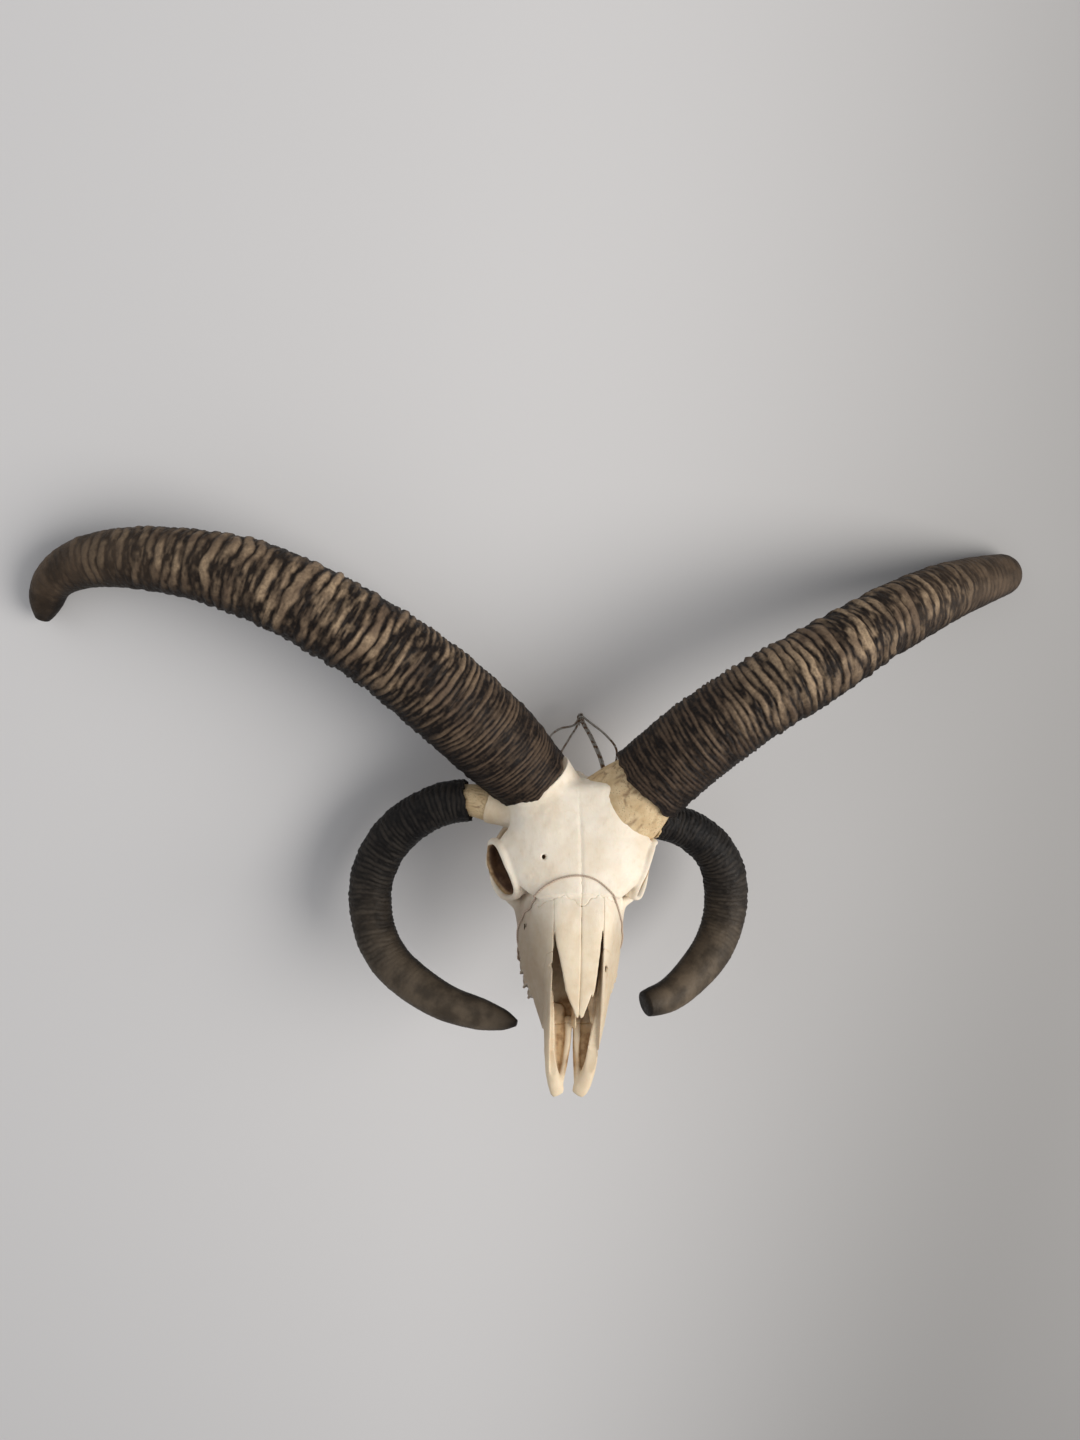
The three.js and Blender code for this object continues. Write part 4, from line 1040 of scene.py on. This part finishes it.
# ------------------------------------------------------------------ the horns
HORNS = {
    "upper_left": {
        "line": [[54.6, 85.4, -2.5], [90, 109, 29.2], [131.8, 132.2, 56], [177.7, 156.2, 70.2],
                 [229.6, 188.6, 73.4], [279, 217.3, 68], [327, 241.2, 58], [372, 261.6, 46.4]],
        "width": [66, 65, 63, 61, 55, 51, 43.5, 32],
        "depth": [67, 67, 65, 62, 56, 51, 43, 32],
        "core": [[34.8, 70.4, -20.4], [46, 78.4, -10.9], [56.5, 86, -1.5], [90, 109, 29.2],
                 [131.5, 132, 56], [160, 146.5, 66]],
        "core_size": [70, 65, 57, 49, 38, 20],
        "blunt": 0.5,
    },
    "upper_right": {
        "line": [[-31, 92, -8.4], [-78, 121, 29], [-133, 152, 63], [-185.4, 176, 83.6], [-237, 195.5, 94.2],
                 [-285, 208, 92.4], [-328, 217, 81.4], [-359, 220, 66.4], [-380.4, 214.4, 49.6],
                 [-390.6, 197.8, 28]],
        "width": [61, 69.5, 69, 64, 62.5, 58.5, 50.5, 43, 34.5, 21],
        "depth": [66, 67, 66, 63, 60, 56, 49, 41, 33, 21],
        "core": [[-24.5, 87, -13.5], [-33, 93.5, -6.8], [-78, 121, 29], [-133, 152, 63], [-160, 164.5, 74]],
        "core_size": [51, 52, 50, 38, 20],
        "blunt": 0.55,
    },
    "lower_left": {
        "line": [[70, 70.6, -36.8], [81, 69.6, -41], [98, 66.8, -48], [117, 58.8, -60.5],
                 [131.2, 44.2, -74.2], [137.4, 25, -91.2], [135.8, 5.3, -103], [126.6, -14.4, -109],
                 [108, -35.2, -111.7], [87.2, -51.3, -109.1], [65.6, -59.4, -104]],
        "width": [32, 33, 35, 36, 36.5, 36, 35, 33, 30, 27, 23],
        "depth": [29, 30, 31, 31, 31.5, 31.5, 31, 29, 27, 24.5, 21],
        "core": [[66, 66.6, -36], [80, 69, -41], [97, 66, -48], [115.5, 57.6, -60.5], [124, 50, -68]],
        "core_size": [24, 22, 21, 17, 9],
        "blunt": 0.94,
    },
    "lower_right": {
        "line": [[-79, 82.4, -29.4], [-98, 81.4, -36], [-124, 72.8, -54], [-142.4, 57.4, -74],
                 [-151.8, 34.2, -92], [-149, 4, -104], [-137, -20, -108], [-121.6, -36.4, -106.2],
                 [-94.3, -56, -99.6], [-70.2, -66.2, -92.8], [-40.5, -76.4, -81]],
        "width": [35, 35, 35.5, 35.5, 35, 34, 32.5, 31, 28, 24, 11],
        "depth": [31, 32, 32, 32, 31.5, 31, 30, 28.5, 26, 21.5, 11],
        "core": [[-62, 77.6, -25.6], [-79, 82.4, -29.4], [-98, 81.4, -36], [-124, 72.8, -54],
                 [-133, 67, -62]],
        "core_size": [27, 25, 22, 17, 9],
        "blunt": 0.5,
    },
}
# How the rings run, for an upper and a lower horn, at shares of its length: their spacing and depth in mm,
# how bright their crests are, and how the colours of wear and of the smooth tip lie along it. Then how far
# out of true they run, and how far, in radians, the worn face is turned towards the crown.
RINGS = {
    "upper": {
        "at": [0, 0.1, 0.22, 0.36, 0.5, 0.68, 0.84, 1],
        "spacing": [2.9, 3.2, 4.2, 6.4, 8.4, 7.2, 6.0, 6.0],
        "depth": [0.8, 1.1, 1.5, 2.0, 2.0, 1.4, 0.5, 0.15],
        "bright": [0.5, 0.6, 0.8, 1, 1, 1, 1, 1],
        "wear": [0.0, 0.08, 0.35, 0.95, 1.0, 0.85, 0.45, 0.2],
        "tip": [0, 0, 0, 0, 0.05, 0.25, 0.75, 1],
        "waver": 0.26,
        "turned": 0.3,
    },
    "lower": {
        "at": [0, 0.15, 0.35, 0.52, 0.64, 0.78, 1],
        "spacing": [3.4, 3.8, 4.4, 4.2, 3.8, 3.6, 3.6],
        "depth": [0.8, 1.0, 0.9, 0.7, 0.35, 0.12, 0.05],
        "bright": [0.8, 0.8, 0.9, 1, 1, 1, 1],
        "wear": [0.05, 0.1, 0.15, 0.4, 0.6, 0.3, 0.1],
        "tip": [0, 0, 0.05, 0.3, 0.75, 1, 1],
        "waver": 0.2,
        "turned": 0.0,
    },
}
ROUNDED = 0.04  # share of a horn's length over which its end closes
SHEATH_WALL = {"upper": 4.5, "lower": 3.6}
SHEATH_MESH = {"upper": (200, 560), "lower": (130, 390)}  # points round a sheath and rings along it
CORE_MESH = (120, 180)
CORE_STEP = 0.75  # about how far apart the rings of a core are
CORE_SLACK = 0.25  # how far inside its full size a core is drawn
RIM_DEPTH = 16.0  # how far in from its rim the inside of a sheath is drawn


def underside_shade(off_face):
    """Where a horn is painted in shade: on its smooth underside away from its worn face, and a little along
    its edges.
    """
    return np.clip(-np.cos(off_face) * 0.9 + 0.7 * np.abs(np.sin(off_face)) ** 4, 0, 1)


def lengthwise(run, key, t):
    """One of the lists of RINGS at shares t of a horn's length, as a column."""
    return np.interp(t, run["at"], run[key])[:, None]


def ring_phase(run, t, at, angle, where, seed):
    """How many rings lie between a place on a sheath and its rim. They run a little out of true."""
    spacing = lengthwise(run, "spacing", t)[:, 0]
    count = np.cumsum((1 / spacing[1:] + 1 / spacing[:-1]) / 2 * np.diff(at))
    waver = noise(where, 26, seed) + 0.55 * noise(where * [1, 1, 1.8], 11, seed + 1)
    return np.concatenate([[0], count])[:, None] + run["waver"] * waver + 0.3 * np.cos(angle - 0.6)


def ring_relief(depth, phase, angle, where, seed):
    """How far inside its full size a sheath's surface lies, in mm, and how much of a crest it is, 0 to 1."""
    turn = phase - np.floor(phase)
    ridge = np.clip(np.sin(np.pi * turn), 0, 1) ** 0.7
    steepness = 0.75 + 0.5 * turn
    each = np.stack([np.floor(phase) * 7.3 + 0 * angle, np.cos(angle) * 2 + 0 * phase,
                     np.sin(angle) * 2 + 0 * phase], -1)
    strength = np.clip(0.9 + 0.5 * noise(each, 1.7, seed + 2), 0.4, 1.35)
    wrinkle = noise(where * [0.22, 0.22, 1], 1.3, seed + 9)
    fine = noise(where * [1, 1, 3.2], 4.2, seed + 3)
    swell = noise(where, 34, seed + 4)
    under = np.clip(-np.sin(angle) * 1.3 - 0.25, 0, 1)
    depth = depth * (1 - 0.55 * under)
    inward = depth * (1 - ridge * strength * steepness / 1.3) + 0.2 * depth * fine + 0.4 + 0.3 * swell
    inward = inward + 0.14 * wrinkle * np.clip(depth, 0.3, 1)
    crest = (ridge * strength) ** 2.1 * 0.95 + 0.34 * wrinkle + 0.1 * fine - 0.03
    return np.clip(inward, 0.0, 4.0), np.clip(crest, 0, 1)


def sheath_values(run, t, off_face, where, crest, seed):
    """The attributes that colour a sheath: crests lit on the worn face and painted in shade towards the
    edges, wear, smooth tip, and painted shade on the underside and edges, with the end of the tip darkened.
    """
    face = np.clip(np.cos(off_face) * 1.3 - 0.08, 0, 1)
    patch = np.clip(0.7 + 0.45 * noise(where, 24, seed + 5) + 0.3 * noise(where, 6, seed + 8), 0.12, 1)
    near_tip = rise(t[:, None], 0.93, 0.07)
    return {
        # Painted shade: the crests are drawn darker away from the worn face, towards the horn's edges.
        "crest": crest * (0.25 + 0.75 * face) * lengthwise(run, "bright", t),
        "wear": crest**1.3 * lengthwise(run, "wear", t) * face * patch,
        "tip": lengthwise(run, "tip", t) * (0.55 + 0.45 * face) + 0 * off_face,
        # Painted shade on the underside and edges, plus a darkened end of the tip.
        "shade": np.clip(underside_shade(off_face) + near_tip * 0.8, 0, 1),
    }


def horn_rings(name, kind, around, count):
    """A sheath's rings, outside from rim to tip, with the attributes that colour it."""
    horn, run = HORNS[name], RINGS[kind]
    points, at = even_stations(horn["line"], count)
    t = at / at[-1]
    tangent = unit(np.gradient(points, axis=0))
    across = unit(np.cross(tangent, FACE_ON))
    up = unit(np.cross(across, tangent))
    close = 1 + (horn["blunt"] - 1) * np.clip((t - 1 + ROUNDED) / ROUNDED, 0, 1) ** 2
    a, b = close * along(horn["width"], t) / 2, close * along(horn["depth"], t) / 2
    angle = circle(around)[None]
    seed = sum(map(ord, name))
    round_ = np.stack([np.cos(angle) + 0 * t[:, None], np.sin(angle) + 0 * t[:, None]], -1)
    where = np.concatenate([round_ * 30, (at[:, None] + 0 * angle)[..., None]], -1)
    phase = ring_phase(run, t, at, angle, where, seed)
    inward, crest = ring_relief(lengthwise(run, "depth", t), phase, angle, where, seed)
    ring = (points[:, None] + across[:, None] * (np.cos(angle) * (a[:, None] - inward))[..., None]
            + up[:, None] * (np.sin(angle) * (b[:, None] - inward))[..., None])
    ragged = 1.3 * noise(where[:1], 9, seed + 6) + 0.7 * noise(where[:1], 3.5, seed + 7)
    ring += tangent[:, None] * (ragged * np.clip(1 - at / 12, 0, 1)[:, None])[..., None]
    side = -1 if points[0, 0] < 0 else 1
    off_face = angle - np.pi / 2 - side * run["turned"]
    return ring, sheath_values(run, t, off_face, where, crest, seed), tangent, points


def make_sheath(name, material):
    """A horn's sheath: its outside, its rim and a stretch of its inside."""
    kind = name.split("_")[0]
    around, count = (int(n * FINE) for n in SHEATH_MESH[kind])
    ring, values, tangent, middle = horn_rings(name, kind, around, count)
    inner = []
    wall = SHEATH_WALL[kind]
    core = horn_core_radius(name)
    for depth in (0.0, RIM_DEPTH * 0.3, RIM_DEPTH):
        outer = ring[0] + tangent[0] * depth
        centre = middle[0] + tangent[0] * depth
        inward = centre - outer
        reach = np.linalg.norm(inward, axis=1, keepdims=True)
        inner.append(outer + inward / reach * np.minimum(wall, reach - core * 0.96 if depth else wall))
    skin = closed_skin(np.vstack([np.array(inner)[::-1], ring]))
    full = {}
    for key, value in values.items():
        flat = np.vstack([np.zeros((len(inner), around)), value]).ravel()
        full[key] = np.concatenate([flat, [0, value[-1].mean()]])
    make_object("horn_" + name, skin, ["horn_" + name], material, full)


def horn_core_radius(name):
    """A horn's core where the rim of its sheath is."""
    horn = HORNS[name]
    away = np.linalg.norm(np.array(horn["core"]) - horn["line"][0], axis=1)
    return horn["core_size"][int(away.argmin())] / 2


def make_core(name, material):
    """A horn's bony core, cracked along its length."""
    horn = HORNS[name]
    around, count = (int(n * FINE) for n in CORE_MESH)
    radii = [d / 2 - CORE_SLACK for d in horn["core_size"]]
    rings = sweep(horn["core"], radii, radii, FACE_ON, around, count, round_ends=False)
    seed = 7 * sum(map(ord, name))
    centre = rings.mean(1, keepdims=True)
    outward = unit(rings - centre)
    angle = circle(around)[None]
    s = np.arange(count)[:, None] * (CORE_STEP / FINE)
    where = np.stack([np.cos(angle) * 26 + 0 * s, np.sin(angle) * 26 + 0 * s, s * 0.14 + 0 * angle], -1)
    crack = np.clip(1 - np.abs(noise(where, 2.4, seed)) / 0.24, 0, 1)
    open_ = np.clip(0.7 + 0.9 * noise(where * [1, 1, 3], 6, seed + 1), 0, 1)
    groove = crack * open_
    rings = rings - outward * (0.15 + 0.5 * groove)[..., None]
    values = {"streak": np.concatenate([groove.ravel(), [0, 0]])}
    make_object("horn_core_" + name, closed_skin(rings), ["horn_core_" + name], material, values)


def make_horns():
    """The four horns, each a core and a sheath."""
    upper = horn_paint("upper_horn", dark=(0.0080, 0.0050, 0.0038), crest=(0.118, 0.077, 0.050),
                       worn_color=(0.37, 0.265, 0.165), tip=(0.080, 0.053, 0.033), gloss=0.46)
    lower = horn_paint("lower_horn", dark=(0.0042, 0.0035, 0.0034), crest=(0.022, 0.018, 0.015),
                       worn_color=(0.090, 0.073, 0.055), tip=(0.125, 0.094, 0.064), gloss=0.40)
    core = core_paint()
    for name in HORNS:
        is_upper = name.startswith("upper")
        make_sheath(name, upper if is_upper else lower)
        make_core(name, core)


# ------------------------------------------------------------------ the hanging wire and the muzzle string
WIRES = [
    [[14.4, 160, -33], [16, 150, -30], [20.6, 132, -22], [25.6, 105, -13], [25, 92, -14]],
    [[12.6, 160, -33], [14.2, 150, -30], [18.8, 132, -22], [23.8, 105, -13], [23.2, 92, -14]],
    [[13.5, 159, -33], [8, 149, -31], [-5, 143, -27], [-15, 132, -21], [-22, 112, -24], [-23, 92, -32]],
    [[13.5, 158, -33], [9.5, 147, -31], [1.6, 133, -23], [-7.5, 116, -19], [-12, 98, -21], [-13, 86, -22]],
    [[13.5, 159, -33], [21, 152.4, -33], [33, 139.5, -30], [40, 125, -27], [37, 108, -34], [30, 94, -38]],
]
WIRE_R = 0.9
COIL_START, COIL_RUN = np.array([13.5, 158.4, -33.0]), np.array([0.2, -7.4, 0.9])
COIL_R, COIL_ANGLE = 2.1, 17  # the coil's angle is in radians
STRING_R = 0.75
STRING_TURNS = 60  # of the strands round each other
STRING_MESH = (12, 1400)
STRING = [
    [0, 11.4, 5.3], [12, 8, 4.2], [24, -1, -3.2], [33.4, -9, -21], [39.8, -14, -42], [41.4, -22, -58],
    [41.6, -27, -74], [34, -31, -89.6], [0, -33, -89.6], [-34, -31, -89.6], [-41.6, -23, -74],
    [-42, -14, -58], [-40.4, -6.4, -42], [-37, -2, -25], [-33.6, 1, -12.6], [-25, 6.6, 0.2],
    [-12, 10.6, 4.8],
]


def string_line():
    """The string's way round the muzzle, before it is drawn onto the bone."""
    return spline(STRING, np.linspace(0, 1, 400, endpoint=False), closed=True)


def make_wires(material):
    """The hanging wires, with a few turns of one round the others where they were bent over their hook."""
    shapes = [bar(w, [WIRE_R], [WIRE_R], SIDEWAYS, around=12, count=80) for w in WIRES]
    share = np.linspace(0, 1, 90)
    axis = COIL_START + share[:, None] * COIL_RUN
    sine = np.sin(share * COIL_ANGLE)
    coil = axis + COIL_R * np.stack([np.cos(share * COIL_ANGLE), 0.55 * sine, 0.83 * sine], 1)
    shapes.append(bar(coil, [WIRE_R * 0.8], [WIRE_R * 0.8], np.array([1.0, 0.3, 0]), around=10, count=220))
    make_object("hanging_wire", joined(shapes), ["hanging_wire"], material)


def joined(shapes):
    """Several skins as one mesh."""
    points, quads, tris, n = [], [], [], 0
    for p, q, t in shapes:
        points.append(p)
        quads.append(q + n)
        tris.append(t + n)
        n += len(p)
    return np.vstack(points), np.vstack(quads), np.vstack(tris)


def drawn_tight(line, field):
    """A closed line that is moved onto the bone where it runs close by, and kept smooth."""
    step = 0.6
    for _ in range(16):
        gap = sample(field, line) - STRING_R * 0.8
        slope = np.stack([sample(field, line + e) - sample(field, line - e) for e in np.eye(3) * step], 1)
        close = np.abs(gap) < 3.5
        line = line - unit(slope) * (np.clip(gap, -step, step) * close)[:, None]
        for _ in range(4):
            line = (np.roll(line, 1, 0) + 2 * line + np.roll(line, -1, 0)) / 4
    return line


def make_string(line, field, material):
    """The string round the muzzle, lying on the bone, of two strands twisted together."""
    line = drawn_tight(line, field)
    around, count = STRING_MESH[0], int(STRING_MESH[1] * FINE)
    rings = sweep(line, [STRING_R], [STRING_R], np.array([0, 1.0, 0.2]), around, count, closed=True)
    centre = rings.mean(1, keepdims=True)
    angle = circle(around)[None]
    twist = np.abs(np.cos(angle + np.linspace(0, STRING_TURNS * 2 * np.pi, count)[:, None]))
    rings = centre + (rings - centre) * (0.66 + 0.34 * twist)[..., None]
    skin = closed_skin(rings, looped=True)
    make_object("muzzle_string", skin, ["muzzle_string"], material, {"strand": twist.ravel()})


# ------------------------------------------------------------------ floor, lights and camera
FLOOR_SIZE, FLOOR_Z = 12, -0.0004  # in m; just below what lies on it


def make_floor():
    """The plain surface that the skull lies on."""
    bpy.ops.mesh.primitive_plane_add(size=FLOOR_SIZE, location=(0, 0, FLOOR_Z))
    plane = bpy.context.object
    plane.name = "floor"
    plane.data.materials.append(floor_paint())


def make_light(name, place, target, size, power, color):
    """A round soft light that shines at a target."""
    data = bpy.data.lights.new(name, "AREA")
    data.shape = "DISK"
    data.size = size
    data.energy = power
    data.color = color
    light = bpy.data.objects.new(name, data)
    light.location = place
    light.rotation_euler = (Vector(target) - Vector(place)).to_track_quat("-Z", "Y").to_euler()
    bpy.context.scene.collection.objects.link(light)


# The viewpoint in the skull's own frame: where the camera is, and its right and up.
EYE = np.array([-141.1, -221.3, 745.6])
PITCH, YAW, ROLL = np.radians([25.7, 8.0, -1.2])
FOCAL_PX, PICTURE_PX = 1083, 1440  # focal length and longer side of the picture
SENSOR = 36  # mm


def view_axes():
    """Right, up and back of the camera in the skull's own frame."""
    turn = Matrix.Rotation(ROLL, 3, "Z") @ Matrix.Rotation(YAW, 3, "Y") @ Matrix.Rotation(-PITCH, 3, "X")
    return np.array(turn)


def make_camera():
    """The camera. Returns its right, up and back over the floor."""
    data = bpy.data.cameras.new("camera")
    data.sensor_width = SENSOR
    data.lens = SENSOR * FOCAL_PX / PICTURE_PX
    camera = bpy.data.objects.new("camera", data)
    right, up, back = view_axes() @ TURN.T
    matrix = Matrix(np.column_stack([right, up, back]).tolist()).to_4x4()
    matrix.translation = Vector(to_floor(EYE))
    camera.matrix_world = matrix
    bpy.context.scene.collection.objects.link(camera)
    bpy.context.scene.camera = camera
    return right, up, back


def make_lights(right, up, back):
    """A broad soft key from the right of the picture, a weak fill, and light from all round."""
    centre = np.array([0.0, 0.0, 0.12])
    key = centre + 1.8 * right - 0.45 * up + 1.1 * back
    fill = centre - 1.4 * right + 0.8 * up + 1.5 * back
    make_light("key", key, centre, size=1.9, power=47, color=(1.0, 0.975, 0.94))
    make_light("fill", fill, centre, size=1.8, power=8, color=(0.93, 0.96, 1.0))
    world = bpy.data.worlds.new("world")
    bpy.context.scene.world = world
    world.use_nodes = True
    background = world.node_tree.nodes["Background"]
    background.inputs["Color"].default_value = (0.95, 0.965, 1.0, 1.0)
    background.inputs["Strength"].default_value = 0.46


# ------------------------------------------------------------------ all of it
axes = make_camera()
make_lights(*axes)
make_floor()
bones, string_route = make_bones()
make_horns()
make_wires(wire_paint())
make_string(string_route, bones, string_paint())
bpy.context.scene.view_settings.view_transform = "Standard"
